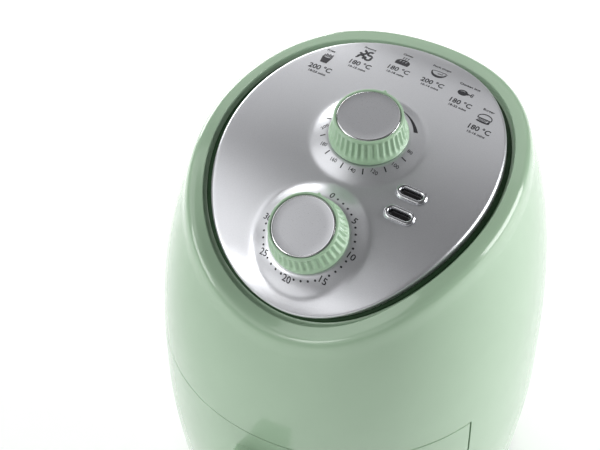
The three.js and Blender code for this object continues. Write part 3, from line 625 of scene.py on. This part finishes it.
def box_mesh(x0, x1, y0, y1, z0, z1):
    points = np.array([(x, y, z) for x in (x0, x1) for y in (y0, y1) for z in (z0, z1)], float)
    faces = [(0, 1, 3, 2), (4, 6, 7, 5), (0, 4, 5, 1), (2, 3, 7, 6), (0, 2, 6, 4), (1, 5, 7, 3)]
    return points, faces


def along_y(shape, z):
    """Lays a body turned round Z along Y, at height z."""
    points, faces = shape
    laid = np.column_stack([points[:, 0], points[:, 2], -points[:, 1] + z])
    return laid, faces


def build_drawer_front():
    columns, rows = 81, []
    for z in np.linspace(WINDOW_LOW + SEAM, WINDOW_HIGH - SEAM, WINDOW_ROWS + 1):
        edge = side_angle(WINDOW_SIDE - SEAM, z)
        rows.append(Skin(np.linspace(-edge, edge, columns)).at_height(z))
    faces = grid(len(rows), columns, wrapped=False)
    front = make("drawer_front_skin", np.concatenate(rows), faces, "drawer", "green_gloss", 60)
    thicken(front)
    round_edges(front, WALL_ROUND)
    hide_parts("drawer_front")


# ---------- control panel ----------

EDGE_ANGLES, HALF_STEP = np.linspace(0, 2 * math.pi, 220, endpoint=False), 0.0143
PILLS = [PILL_ALONG + (i - 0.5) * PILL_PITCH for i in (0, 1)]


def edge_ring(offset):
    return np.column_stack(outline(EDGE_ANGLES, offset))


def circle(radius, count, s=0.0, x=0.0, turn=0.0):
    a = np.linspace(0, 2 * math.pi, count, endpoint=False) + turn
    return np.column_stack([s + radius * np.cos(a), x + radius * np.sin(a)])


def panel_points():
    """Loose points for the panel: rings round each dial, rows inside the edge, a net between."""
    loose = []
    rings = (21.4, 22.1, 22.5, 22.9, 23.5, 24.6, 26.2, 28, 29.6, 31, 32.2, 33.4, 34.8, 36.4, 38.4, 41)
    for n, dial in enumerate(DIALS):
        other = DIALS[1 - n]
        for i, radius in enumerate((7, 11, 16, *rings)):
            count = 112 if radius > 20 else 40
            ring = circle(radius, count, dial, 0, math.pi / count * (i % 2))
            nearer = np.hypot(ring[:, 0] - dial, ring[:, 1]) <= np.hypot(ring[:, 0] - other, ring[:, 1])
            loose.append(ring[nearer])
    for i, offset in enumerate((-1.9, -3.2, -5.2, -8, -11.5)):
        loose.append(np.column_stack(outline(EDGE_ANGLES + (i % 2) * HALF_STEP, offset)))
    step, ringed = 3.3, 43
    s, x = np.meshgrid(np.arange(-90, 115, step), np.arange(-80, 80, step))
    x = x + (np.arange(x.shape[1]) % 2) * step / 2
    net = np.column_stack([s.ravel(), x.ravel()])
    for dial in DIALS:
        net = net[np.hypot(net[:, 0] - dial, net[:, 1]) > ringed]
    net = net[inside(net, edge_ring(-14))]
    loose.append(net)
    loose = np.concatenate(loose)
    loose = loose[inside(loose, edge_ring(-1.5))]
    for s_pill in PILLS:
        near = ring_2d(19.6, 11.2)[:, ::-1] + (s_pill, PILL_X)
        loose = loose[~inside(loose, near)]
        loose = np.concatenate([loose, near])
    return loose


def build_panel():
    rim = edge_ring(-PLATE_ROLL)
    holes = [circle(4, 40, dial) for dial in DIALS]
    holes += [ring_2d(16.9, 8.5)[:, ::-1] + (s, PILL_X) for s in PILLS]
    flat, faces = fill(rim, holes, panel_points())
    top = on_face(flat[:, 0], flat[:, 1], 0)
    under_loose = np.column_stack(outline(EDGE_ANGLES, -20))
    base, base_faces = fill(edge_ring(0), holes, under_loose)
    bottom = over_panel(base[:, 0], base[:, 1], -PLATE_THICK)
    points, made = [top, bottom], [tuple(f) for f in faces]
    made += [tuple(f[::-1] + len(top)) for f in base_faces]
    count = len(top) + len(bottom)
    side = []
    for turn in np.radians(np.linspace(0, 90, 8)):
        offset, lift = PLATE_ROLL * (math.sin(turn) - 1), PLATE_ROLL * (math.cos(turn) - 1)
        s, x = outline(EDGE_ANGLES, offset)
        side.append(on_face(s, x, lift))
    s, x = outline(EDGE_ANGLES, 0)
    side.append(over_panel(s, x, -PLATE_THICK))
    points += side
    made += grid(len(side), len(EDGE_ANGLES), start=count)
    count += len(side) * len(EDGE_ANGLES)
    for hole in holes:
        points += [on_face(hole[:, 0], hole[:, 1], 0), over_panel(hole[:, 0], hole[:, 1], -PLATE_THICK)]
        made += grid(2, len(hole), start=count)
        count += 2 * len(hole)
    panel = make("control_panel_plate", np.concatenate(points), made, "housing", "silver_panel")
    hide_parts("control_panel")


def build_gasket():
    """A dark strip in the groove against the edge of the panel: painted shade that stands in for the deep
    groove's shadow, not a real seal.
    """
    rings = [(0.35, -4.85), (0.45, -4.1), (0.9, -3.85), (2.3, -3.8), (2.95, -4.1), (3.1, -4.6)]
    rows = [panel_ring(EDGE_ANGLES, offset, lift) for offset, lift in rings]
    points = np.concatenate(rows)
    faces = grid(len(rows), len(EDGE_ANGLES), closed_rows=True)
    make("panel_groove_painted_shade", points, faces, "housing", "rubber", 60, [GROOVE_SHADE_PAINT])


# ---------- printed marks ----------

INK_SUNK, INK_HIGH = 0.12, 0.07


class Marks:
    """Flat marks on the panel, gathered into one thin mesh. Places are [s, x]; up is towards the back."""

    def __init__(self):
        self.points, self.faces, self.count = [], [], 0
        self.stretch = np.ones(2)

    def add(self, shape, faces, centre, turn=0.0):
        """Adds a flat shape given as [right, up] points, turned clockwise about its own origin."""
        c, n = math.cos(turn), math.sin(turn)
        shape = shape * self.stretch
        right = shape[:, 0] * c + shape[:, 1] * n
        up = -shape[:, 0] * n + shape[:, 1] * c
        s, x = centre[0] - up, centre[1] + right
        self.points += [on_face(s, x, -INK_SUNK), on_face(s, x, INK_HIGH)]
        self.faces += [tuple(v + self.count for v in f) for f in plate_faces(faces, len(shape))]
        self.count += 2 * len(shape)

    def polygon(self, loop, centre, turn=0.0, holes=()):
        flat, faces = fill(np.asarray(loop, float), [np.asarray(h, float) for h in holes])
        self.add(flat, faces, centre, turn)

    def drawing(self, shapes, centre):
        for loop, holes in shapes:
            self.polygon(loop, centre, 0.0, holes)

    def text(self, words, size, centre, turn=0.0, bold=0.0):
        flat, faces = glyphs(words, size, bold)
        self.add(flat, faces, centre, turn)


GLYPHS = {}


def glyphs(words, size, bold=0.0):
    """A line of text as flat triangles, centred, its capitals size high."""
    key = (words, size, bold)
    if key not in GLYPHS:
        curve = bpy.data.curves.new("line_of_text", "FONT")
        curve.body = words
        curve.size = size * 1.37
        curve.align_x = "CENTER"
        curve.offset = bold
        curve.resolution_u = 3
        holder = add_object("line_of_text", curve)
        mesh = bpy.data.meshes.new_from_object(holder)
        flat = np.array([v.co[:2] for v in mesh.vertices])
        flat[:, 1] -= size / 2
        faces = [tuple(p.vertices) for p in mesh.polygons]
        bpy.data.objects.remove(holder)
        bpy.data.curves.remove(curve)
        bpy.data.meshes.remove(mesh)
        GLYPHS[key] = (flat, faces)
    return GLYPHS[key]


def round_dial(dial, degrees, radius):
    """The place at an angle clockwise from up, at a radius round a dial, as [s, x]."""
    a = math.radians(degrees)
    return float(from_dial(dial, radius * math.cos(a))), radius * math.sin(a)


def bar(width, height):
    w, h = width / 2, height / 2
    return np.array([(-w, -h), (w, -h), (w, h), (-w, h)])


def dial_marks(marks):
    """Minutes round the timer, and the warming wedge and degrees round the thermostat, all upright."""
    for minute in range(31):
        angle = 2.6 + 9.0 * minute
        if minute % 5 == 0:
            marks.text(str(minute), 3.7, round_dial(DIAL_SPACING, angle, 25.4), 0.15 * (minute > 0), 0.05)
        else:
            marks.polygon(circle(0.6, 14), round_dial(DIAL_SPACING, angle, 24.8))
    for i in range(7):
        angle = 90 + 28 * i
        label = str(80 + 20 * i)
        marks.text(label, 2.15, round_dial(0, angle, 24.8), -0.9 if i == 6 else 0.12, 0.02)
        tick = angle + 14
        marks.polygon(bar(0.7, 2.9), round_dial(0, tick, 24.8), math.radians(tick))
    turn = np.radians(np.linspace(14, 58, 24))
    width = np.linspace(0.15, 2.3, 24)
    outer, inner = 25.6 + width * 0.35, 25.6 - width * 0.65
    edge = lambda r, a: np.column_stack([r * np.sin(a), r * np.cos(a)])
    marks.polygon(np.concatenate([edge(outer, turn), edge(inner, turn)[::-1]]), (0.0, 0.0))


def stroke(path, width):
    """A line of constant width along [right, up] points, as a closed loop."""
    path = np.asarray(path, float)
    along = np.gradient(path, axis=0)
    along /= np.linalg.norm(along, axis=1, keepdims=True)
    across = np.column_stack([-along[:, 1], along[:, 0]]) * width / 2
    return np.concatenate([path + across, (path - across)[::-1]])


def arc(cx, cy, rx, ry, start, end, count=14):
    a = np.radians(np.linspace(start, end, count))
    return np.column_stack([cx + rx * np.cos(a), cy + ry * np.sin(a)])


# Each icon gives its outlines as [right, up] points, with the holes in each.


def icon_fries():
    cup = [(-2.5, 1.0), (-1.7, -3.0), (1.7, -3.0), (2.5, 1.0), (1.2, 0.5), (0, 0.35), (-1.2, 0.5)]
    yield cup, ()
    for x, top in ((-1.9, 2.3), (-1.1, 3.0), (-0.3, 2.6), (0.5, 3.1), (1.3, 2.5), (2.0, 2.9)):
        yield [(x - 0.25, 0.9), (x + 0.25, 0.9), (x + 0.3, top), (x - 0.2, top)], ()


def icon_prawns():
    for cx, cy, start in ((-1.9, 1.4, 200), (1.7, 1.7, 60), (-1.6, -1.9, 320), (1.9, -1.5, 150)):
        body = arc(cx, cy, 1.4, 1.25, start, start + 250)
        yield stroke(body, 1.15), ()
        tip = body[-1] - (cx, cy)
        yield stroke([body[-1], (cx, cy) + tip * 1.8], 0.7), ()


def icon_cake():
    loaf = np.concatenate([arc(0, -1.2, 3.6, 2.3, 0, 180, 18), [(-3.3, -2.9), (3.3, -2.9)]])
    cuts = [[(x, -0.9), (x + 0.45, -0.9), (x + 0.9, 0.3), (x + 0.45, 0.3)] for x in (-2.0, -0.5, 1.0)]
    yield loaf, cuts
    for x in (-1.4, -0.2, 1.0):
        steam = [(x, 1.6), (x + 0.1, 2.1), (x + 0.05, 2.5), (x + 0.3, 3.0)]
        yield stroke(steam, 0.4), ()


def icon_steak():
    """A thick cut seen from the front edge: a dark rind under a pale top."""
    rind = np.concatenate([arc(0, 1.3, 3.9, 3.6, 180, 360, 22), arc(0, 1.3, 3.3, 2.2, 360, 180, 22)])
    yield rind, ()
    top = np.concatenate([arc(0, 1.3, 3.9, 0.9, 180, 60, 14), arc(1.2, 1.6, 2.7, 0.7, 90, 0, 8)])
    yield stroke(top, 0.3), ()
    yield stroke([(-0.4, 0.4), (0.9, 0.7), (1.7, 0.6), (1.9, 1.1)], 0.35), ()


def icon_chicken():
    meat = np.concatenate([arc(-1.5, -0.2, 2.5, 1.8, 20, 340, 26), [(1.6, -0.55), (1.6, 0.35)]])
    shine = np.concatenate([arc(-1.4, 0.1, 1.7, 0.9, 60, 170, 10), arc(-1.4, 0.1, 1.3, 0.5, 170, 60, 10)])
    yield meat, [shine]
    yield stroke([(1.5, -0.1), (2.7, 0.05)], 0.5), ()
    for cy in (0.6, -0.45):
        yield stroke(arc(3.2, cy, 0.5, 0.5, 0, 340), 0.3), ()


def icon_burger():
    bun = stroke(np.concatenate([[(-3.4, -0.2)], arc(0, 0.5, 3.4, 2.1, 170, 10, 20), [(3.4, -0.2)]]), 0.45)
    yield bun, ()
    yield bar(6.8, 0.5) + (0, -0.2), ()
    for x in np.arange(-2.9, 1.6, 0.75):
        yield [(x, -1.7), (x + 0.35, -1.7), (x + 1.0, -0.6), (x + 0.65, -0.6)], ()
    yield [(1.9, -1.8), (3.2, -1.8), (3.3, -0.6), (2.6, -0.6)], ()
    yield np.concatenate([[(-3.3, -1.8), (3.3, -1.8)], arc(0, -2.1, 3.2, 0.5, 0, -180, 14)]), ()


FOODS = (
    (icon_fries, "Fries", "200", "18-25 mins"),
    (icon_prawns, "Prawns", "180", "10-15 mins"),
    (icon_cake, "Cakes", "180", "15-18 mins"),
    (icon_steak, "Pork chops", "200", "10-14 mins"),
    (icon_chicken, "Chicken legs", "180", "18-22 mins"),
    (icon_burger, "Burger", "180", "12-16 mins"),
)


# Degrees between the settings, and the radius of their arc, which grows with the angle's square.
FOOD_PITCH, FOOD_RADIUS, FOOD_SPREAD = 21.66, 56.3, 0.0013


def food_marks(marks):
    """Six food settings on an arc behind the temperature dial, all upright on the panel."""
    for i, (icon, name, degrees, minutes) in enumerate(FOODS):
        angle = (i - 2.5) * FOOD_PITCH
        s, x = round_dial(0, angle, FOOD_RADIUS + FOOD_SPREAD * angle**2)
        for stretch, paint, place in (
            ((0.92, 1), lambda at: marks.text(f"{degrees} °C", 3.8, at, 0.0, 0.09), (s, x)),
            ((1.28, 1.15), lambda at: marks.text(minutes, 1.4, at, 0.0, 0.04), (s + 4.2, x)),
            ((1.18, 1.4), lambda at: marks.drawing(icon(), at), (s - 8.9, x - 0.8)),
            ((1.2, 1.15), lambda at: marks.text(name, 1.5, at, 0.0, 0.04), (s - 16.4, x - 1.5)),
        ):
            marks.stretch = np.array(stretch)
            paint(place)
    marks.stretch = np.ones(2)


def build_print():
    marks = Marks()
    dial_marks(marks)
    food_marks(marks)
    points = np.concatenate(marks.points)
    make("panel_print", points, marks.faces, "housing", "dark_lens", 30, [PRINT_INK])


# ---------- indicator lights ----------

BEZEL_SIZE, GLASS_SIZE = (18.0, 9.6), (12.0, 3.6)


def pill_rows(steps, length, width):
    """Level rings that lean with the panel's crown, from [inset, height] steps."""
    rows = []
    for inset, z in steps:
        ring = ring_2d(length - 2 * inset, width - 2 * inset, 20)
        rows.append(np.column_stack([ring, z - 2 * CROWN * PILL_X * ring[:, 0]]))
    return rows


def build_indicators():
    steps = [(0.95, -4), (0.95, 0.02), (0, 0.02), (0.05, 0.5), (0.35, 1.1), (0.9, 1.6), (1.5, 1.78)]
    steps += [(2.1, 1.6), (2.6, 1.1), (2.85, 0.4), (2.9, -0.4), (2.9, -4)]
    for i, s in enumerate(PILLS):
        rows = pill_rows(steps, *BEZEL_SIZE)
        points = stand(np.concatenate(rows), s, PILL_X)
        faces = grid(len(rows), 40, closed_rows=True)
        bezel = make(f"indicator_ring_{i + 1}", points, faces, "housing", "chrome_bezel", 60)
        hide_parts(f"indicator_bezel_{i + 1}")
        glass = [(0, -4), (0, -1.2), (0.2, -0.9), (0.7, -0.7), (1.3, -0.6)]
        shape = loft([stand(row, s, PILL_X) for row in pill_rows(glass, *GLASS_SIZE)])
        lens = make(f"indicator_glass_{i + 1}", *shape, "housing", "dark_lens", 60)
        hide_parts(f"indicator_lens_{i + 1}")


# ---------- knobs ----------

FLUTES, FLUTE_DEPTH = 36, 0.95
KNOB_BASE, KNOB_TOP = 3.6, 19.1


def knob_profile():
    """Rows of the knob's body as [radius, height, share of flute], from the bore round to the cap seat."""
    rows = [(3.4, 14.2, 0), (3.4, KNOB_BASE, 0), (12, KNOB_BASE, 0), (21.0, KNOB_BASE, 0)]
    rows += [(21.4, 3.68, 0), (21.65, 3.9, 0), (21.75, 4.25, 0), (21.72, 5.0, 0), (21.62, 5.6, 0)]
    for w in np.linspace(0, 1, 16):
        z = 5.9 + w * (17.7 - 5.9)
        radius = 21.55 - 2.5 * w - 0.35 * math.sin(math.pi * w)
        fade = min(1.0, w / 0.22) * min(1.0, (1 - w) / 0.1)
        rows.append((radius, z, fade * fade * (3 - 2 * fade)))
    rows += [(18.98, 18.1, 0), (18.92, 18.55, 0), (18.72, 18.9, 0), (18.4, 19.06, 0), (18.1, KNOB_TOP, 0)]
    rows += [(17.8, 19.04, 0), (17.62, 18.86, 0), (17.56, 18.5, 0), (17.56, 17.2, 0), (12, 17.2, 0)]
    return rows


def knob_rows():
    count = FLUTES * 14
    a = np.linspace(0, 2 * math.pi, count, endpoint=False)
    wave = (0.5 - 0.5 * np.cos(FLUTES * a)) ** 0.85
    signed = np.where(a > math.pi, a - 2 * math.pi, a)
    nub = np.exp(-((signed / 0.052) ** 2))
    rows = []
    for radius, z, flute in knob_profile():
        on_rim = 1.0 if radius > 17.9 and z > 17.4 else max(0.0, (z - 11) / 7) if radius > 18 else 0.0
        r = radius - FLUTE_DEPTH * flute * wave * (1 - nub * on_rim) + 0.9 * nub * on_rim
        height = z + 0.45 * nub * (on_rim if z > 18.3 else 0.0)
        rows.append(np.column_stack([r * np.sin(a), r * np.cos(a), height + 0 * a]))
    return rows


def cap_shape():
    profile = [(0, 17.35), (16.9, 17.35), (17.25, 17.5), (17.25, 18.62), (17.16, 18.8), (16.6, 19.02)]
    profile += [(16.45, 19.04), (16.3, 18.99), (16.1, 18.97), (12, 18.95), (6, 18.94), (0, 18.94)]
    return lathe(profile, 128)


def build_knob(name, dial):
    rows = [stand(row, dial) for row in knob_rows()]
    points, faces = loft(rows)
    body = make(f"{name}_grip", points, faces, name, "green_knob")
    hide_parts(f"{name}_body")
    points, faces = cap_shape()
    finishes = [FINISHES["satin_cap"], BEVEL_RING]
    cap = make(f"{name}_disc", stand(points, dial), faces, name, "satin_cap", 50, finishes)
    origin, axes = dial_frame(dial)
    for face in cap.data.polygons:
        middle = np.array(face.center) / MM - SHIFT - origin
        if np.hypot(*(middle @ axes.T)[:2]) > 16.35:
            face.material_index = 1
    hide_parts(f"{name}_cap")


# ---------- handle ----------


def bezier(p, q, r, count):
    w = np.linspace(0, 1, count)[:, None]
    p, q, r = (np.array(v, float) for v in (p, q, r))
    return (1 - w) ** 2 * p + 2 * w * (1 - w) * q + w * w * r


def line(p, q, count):
    w = np.linspace(0, 1, count)[:, None]
    return (1 - w) * np.array(p, float) + w * np.array(q, float)


def handle_side():
    """Side view of the hook as [y, z] points, an arm out from the front and a grip down from its end."""
    root, top, low, outer, inner, under = -105.0, 123.0, 46.0, -155.0, -141.0, 106.0
    parts = [
        line((root, top), (outer + 18, top), 12),
        bezier((outer + 18, top), (outer + 0.5, top), (outer, top - 19), 14),
        line((outer, top - 19), (outer + 3, low + 9), 14),
        bezier((outer + 3, low + 9), (outer + 3, low), (outer + 9.5, low), 9),
        bezier((outer + 9.5, low), (inner + 3, low), (inner + 3, low + 9), 9),
        line((inner + 3, low + 9), (inner, under - 9), 12),
        bezier((inner, under - 9), (inner, under), (inner + 9, under), 10),
        line((inner + 9, under), (root, under), 8),
    ]
    loop = np.concatenate([part[:-1] for part in parts])
    return np.concatenate([loop, line((root, under), (root, top), 5)[:-1]])


def inset_loop(loop, amount):
    """The loop moved inwards along its own normals."""
    along = np.roll(loop, -1, 0) - np.roll(loop, 1, 0)
    along /= np.linalg.norm(along, axis=1, keepdims=True)
    normal = np.column_stack([along[:, 1], -along[:, 0]])
    area = np.sum(loop[:, 0] * np.roll(loop[:, 1], -1) - np.roll(loop[:, 0], -1) * loop[:, 1])
    return loop - normal * amount * np.sign(area)


def build_handle():
    side, half, soft = handle_side(), 15.0, 5.0
    rings = []
    turns = np.radians(np.linspace(0, 90, 8))
    edges = [(-half + soft - soft * math.cos(t), soft - soft * math.sin(t)) for t in turns]
    for x, inset in edges + [(-x, inset) for x, inset in reversed(edges)]:
        loop = inset_loop(side, inset)
        rings.append(np.column_stack([np.full(len(loop), x), loop]))
    handle = make("handle_hook", *loft(rings, caps=False), "drawer", "green_gloss", 60)
    close_ends(handle, 60)
    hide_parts("handle_outer")
    rows = []
    for inset, y in ((0, -143.5), (0, -140.6), (0.15, -140.3), (0.5, -140.05), (1.2, -139.9)):
        outline_2d = ring_2d(31.4 - 2 * inset, 21.4 - 2 * inset, 20)
        lean = 3 * (outline_2d[:, 0]) / 51
        rows.append(np.column_stack([outline_2d[:, 1], y - lean, outline_2d[:, 0] + 76]))
    liner = make("handle_grip_pad", *loft(rows), "drawer", "grey_plastic", 60)
    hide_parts("handle_liner")


def close_ends(piece, smooth):
    """Fills the open loops of a piece with flat faces."""
    bm = bmesh.new()
    bm.from_mesh(piece.data)
    edges = [e for e in bm.edges if len(e.link_faces) == 1]
    bmesh.ops.contextual_create(bm, geom=[e for e in edges if e.verts[0].co.x < 0])
    bmesh.ops.contextual_create(bm, geom=[e for e in edges if e.is_valid and e.verts[0].co.x > 0])
    bm.to_mesh(piece.data)
    bm.free()
    tidy(piece.data, smooth)


# ---------- pan and rack ----------

CORE_X, CORE_FRONT, CORE_BACK = 32.0, -48.0, 32.0


def core_ring(radius, z, per_corner=14):
    """A level ring round the pan's core rectangle."""
    corners = ((CORE_X, CORE_FRONT), (CORE_X, CORE_BACK), (-CORE_X, CORE_BACK), (-CORE_X, CORE_FRONT))
    ring = []
    for i, (x, y) in enumerate(corners):
        a = np.radians(np.linspace(90 * i - 90, 90 * i, per_corner))
        ring.append(np.column_stack([x + radius * np.cos(a), y + radius * np.sin(a)]))
    flat = np.concatenate(ring)
    return np.column_stack([flat, np.full(len(flat), z)])


def build_pan():
    steps = [(26, 19), (34, 19), (36, 19.6), (37.5, 21), (38.2, 23), (40, 52), (42, 86), (43.7, 117.5)]
    steps += [(44, 119.2), (45.2, 119.6), (46, 120.1), (46.1, 120.6), (45.6, 121), (44.2, 121)]
    steps += [(43, 120.6), (42.5, 119.8), (42.2, 117), (40.5, 86), (38.5, 52), (36.6, 24.5)]
    steps += [(36.1, 22.6), (34.6, 21.2), (32.4, 20.5), (26, 20.5)]
    rings = [core_ring(radius, z) for radius, z in steps]
    pan = make("drawer_pan_bowl", *loft(rings), "drawer", "non_stick")
    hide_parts("drawer_pan")


def slot_loop(x, length, middle):
    return ring_2d(length + 4.4, 4.4, 8)[:, ::-1] + (x, middle)


def build_rack():
    middle = (CORE_FRONT + CORE_BACK) / 2
    loop = core_ring(35.4, 0, 16)[:, :2]
    holes = [slot_loop(x, 112 - abs(x), middle) for x in (-42, -28, -14, 14, 28, 42)]
    holes.append(circle(9, 40, 0, middle))
    rack = make("frying_rack_plate", *slab(loop, holes, 29, 31), "rack", "non_stick")
    round_edges(rack, 0.45)
    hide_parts("frying_rack")
    out = 22
    places = ((CORE_X + out, middle), (-CORE_X - out, middle), (0, CORE_FRONT - out), (0, CORE_BACK + out))
    profile = [(0, 20.8), (3.9, 20.8), (4.4, 21.1), (4.6, 21.8)]
    profile += [(5.4, 28), (5.3, 28.5), (4.9, 28.7), (0, 28.7)]
    for i, (x, y) in enumerate(places):
        points, faces = lathe(profile, 40)
        foot = make(f"rack_pad_{i + 1}", points + (x, y, 0), faces, "rack", "rubber", 60)
        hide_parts(f"rack_bumper_{i + 1}")


# ---------- base, back and small parts ----------


def build_feet():
    profile = [(0, 0), (6.4, 0), (7.3, 0.15), (7.8, 0.7), (8.9, 4.6), (8.85, 4.9), (8.5, 5), (0, 5)]
    for i, (sx, sy) in enumerate(((-1, -1), (1, -1), (1, 1), (-1, 1))):
        points, faces = lathe(profile, 56)
        foot = make(f"base_foot_{i + 1}", points + (60 * sx, 64 * sy, 0), faces, "housing", "rubber", 60)
        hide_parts(f"rubber_foot_{i + 1}")


def build_base():
    a = np.linspace(0, 2 * math.pi, 140, endpoint=False)
    half_x, half_y = (BASE_SCALE * half - WALL - 0.3 for half in (BELLY_X, BELLY_Y))
    loop = np.column_stack([half_x * np.sin(a), -half_y * np.cos(a)])
    holes = [ring_2d(40, 4, 8)[:, ::-1] + (x, 0) for x in range(-20, 21, 10)]
    holes += [circle(1.8, 20, x, y) for x, y in ((-40, -30), (40, -30), (40, 50), (-40, 50))]
    base = make("base_tray", *slab(loop, holes, 5.3, 8.3), "housing", "black_plastic")
    round_edges(base, 0.4)
    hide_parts("base_cover")


def build_gland():
    back = BASE_SCALE * BELLY_Y + 6.6
    profile = [(2.7, back - 14), (6.4, back - 14), (6.5, back - 13.6), (6.5, back + 0.8), (8.8, back + 0.8)]
    profile += [(9.0, back + 1.1), (9.0, back + 2.0), (8.4, back + 3.6), (7.8, back + 4), (5.2, back + 4)]
    profile += [(4.8, back + 3.6), (4.4, back + 3.4), (3.4, back + 3.6)]
    profile += [(2.9, back + 3.9), (2.7, back + 3.4)]
    angle = np.linspace(0, 2 * math.pi, 64, endpoint=False)
    rings = [np.stack([r * np.cos(angle), r * np.sin(angle), np.full(64, y)], -1) for r, y in profile]
    shape = (np.concatenate(rings), grid(len(rings), 64, closed_rows=True))
    gland = make("cord_inlet_bush", *along_y(shape, INLET_Z), "housing", "black_plastic")
    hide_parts("cord_gland")


def back_surface(x, z):
    """Y of the skin at the back, for points across and up."""
    angles = np.radians(np.linspace(160, 200, 81))
    heights = np.linspace(180, 222, 22)
    rows = [Skin(angles).at_height(h) for h in heights]
    lines = np.stack([np.interp(x, row[::-1, 0], row[::-1, 1]) for row in rows])
    return np.array([np.interp(height, heights, line_up) for height, line_up in zip(z, lines.T)])


def build_vent():
    """Slatted grille that fills the vent at the back, following the skin."""
    flat_grid = np.array([(x, z) for x in np.arange(-24, 25, 3.0) for z in np.arange(187.5, 215, 2.7)])
    loop = np.array([(-25.6, 186.4), (25.6, 186.4), (25.6, 215.6), (-25.6, 215.6)])
    loop = np.concatenate([line(loop[i], loop[(i + 1) % 4], 17)[:-1] for i in range(4)])
    holes = []
    for z in np.arange(190.5, 212, 5.4):
        holes.append(ring_2d(44, 2.6, 7) + (0, z + 1.3))
    keep = np.ones(len(flat_grid), bool)
    for hole in holes:
        keep &= ~inside(flat_grid, ring_2d(45.4, 4.0, 7) + (0, hole[:, 1].mean()))
    curved = lambda p, depth: np.column_stack([p[:, 0], back_surface(p[:, 0], p[:, 1]) - depth, p[:, 1]])
    shape = slab(loop, holes, WALL, 0.25, curved, flat_grid[keep])
    vent = make("rear_vent_slats", *shape, "housing", "grey_plastic")
    round_edges(vent, 0.35)
    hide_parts("rear_vent_grille")


# ---------- floor, light and camera ----------


def build_stage():
    points = [(-4, -4, 0), (4, -4, 0), (4, 4, 0), (-4, 4, 0)]
    mesh = bpy.data.meshes.new("floor")
    mesh.from_pydata(points, [], [(0, 1, 2, 3)])
    floor = add_object("floor", mesh)
    material, tree, surface, where = shader("floor_pale", (0.9, 0.9, 0.9), 0.6)
    fill_in(surface, {"Emission Color": (1, 1, 1, 1), "Emission Strength": 0.3})
    tone = tint(tree, noise(tree, where, 3, 3), (0.89, 0.89, 0.89), (0.92, 0.92, 0.92))
    tree.links.new(tone, surface.inputs["Base Color"])
    mesh.materials.append(material)
    floor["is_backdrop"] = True


def build_world(grey):
    world = bpy.data.worlds.new("studio")
    world.use_nodes = True
    world.node_tree.nodes["Background"].inputs["Color"].default_value = (grey, grey, grey, 1)
    bpy.context.scene.world = world


# The soft boxes stand this far from the middle of the body, in metres.
BOX_AWAY, BODY_MIDDLE = 1.5, Vector((0, 0, 0.15))


def soft_box(name, bearing, height, breadth, tall, power):
    """A soft box aimed at the body, from a bearing from +X and a height over the floor in degrees."""
    a, e = math.radians(bearing), math.radians(height)
    way = Vector((math.cos(e) * math.cos(a), math.cos(e) * math.sin(a), math.sin(e)))
    lamp = bpy.data.lights.new(name, "AREA")
    lamp.shape = "RECTANGLE"
    lamp.size = breadth
    lamp.size_y = tall
    lamp.energy = power
    holder = add_object(name, lamp)
    holder.location = BODY_MIDDLE + BOX_AWAY * way
    holder.rotation_mode = "QUATERNION"
    holder.rotation_quaternion = (-way).to_track_quat("-Z", "Y")


def build_lights():
    """A broad key at the right, a low box at the back left, and four weaker fills."""
    build_world(0.11)
    soft_box("key_right", 30, 20, 1.0, 0.9, 20)
    soft_box("low_back_left", 140, 10, 1.2, 0.6, 15)
    soft_box("low_front_left", 230, 25, 0.8, 0.6, 7)
    soft_box("high_left", 200, 50, 1.2, 1.0, 5)
    soft_box("fill_front", 270, 35, 1.1, 0.9, 2)
    soft_box("fill_back", 110, 40, 1.4, 0.9, 2)


# The camera: its bearing and its height over the floor, its distance in metres, its lens in mm, and how far
# right of and above its line of sight the top of the temperature dial's cone lies, in metres.
BEARING, HEIGHT, DISTANCE = math.radians(28.7), math.radians(49.4), 1.1818
LENS, SENSOR = 132.0, 36.0
DIAL_RIGHT, DIAL_UP = 0.037, 0.0485


def build_camera():
    a, e = BEARING, HEIGHT
    right = Vector((math.cos(a), math.sin(a), 0))
    up = Vector((-math.sin(a) * math.sin(e), math.cos(a) * math.sin(e), math.cos(e)))
    back = right.cross(up)
    origin, axes = dial_frame(0)
    base = (origin + CONE_HIGH * axes[2] + SHIFT) * MM
    place = Vector(base) + back * DISTANCE - right * DIAL_RIGHT - up * DIAL_UP
    data = bpy.data.cameras.new("camera")
    data.sensor_width, data.lens = SENSOR, LENS
    data.clip_start, data.clip_end = 0.05, 20
    camera = add_object("camera", data)
    turn = Matrix((right, up, back)).transposed().to_4x4()
    camera.matrix_world = Matrix.Translation(place) @ turn
    bpy.context.scene.camera = camera


# ---------- the scene ----------

bpy.context.scene.view_settings.view_transform = "Standard"
build_camera()
finish_nodes()
build_housing()
build_drawer_front()
build_panel()
# The dark strip in the panel's groove is painted shade.
build_gasket()
build_print()
build_indicators()
build_knob("temp_knob", 0.0)
build_knob("timer_knob", DIAL_SPACING)
build_handle()
build_pan()
build_rack()
build_feet()
build_base()
build_gland()
build_vent()
build_stage()
build_lights()

[[list(corner) for corner in box] for box in (cad_box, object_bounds())]
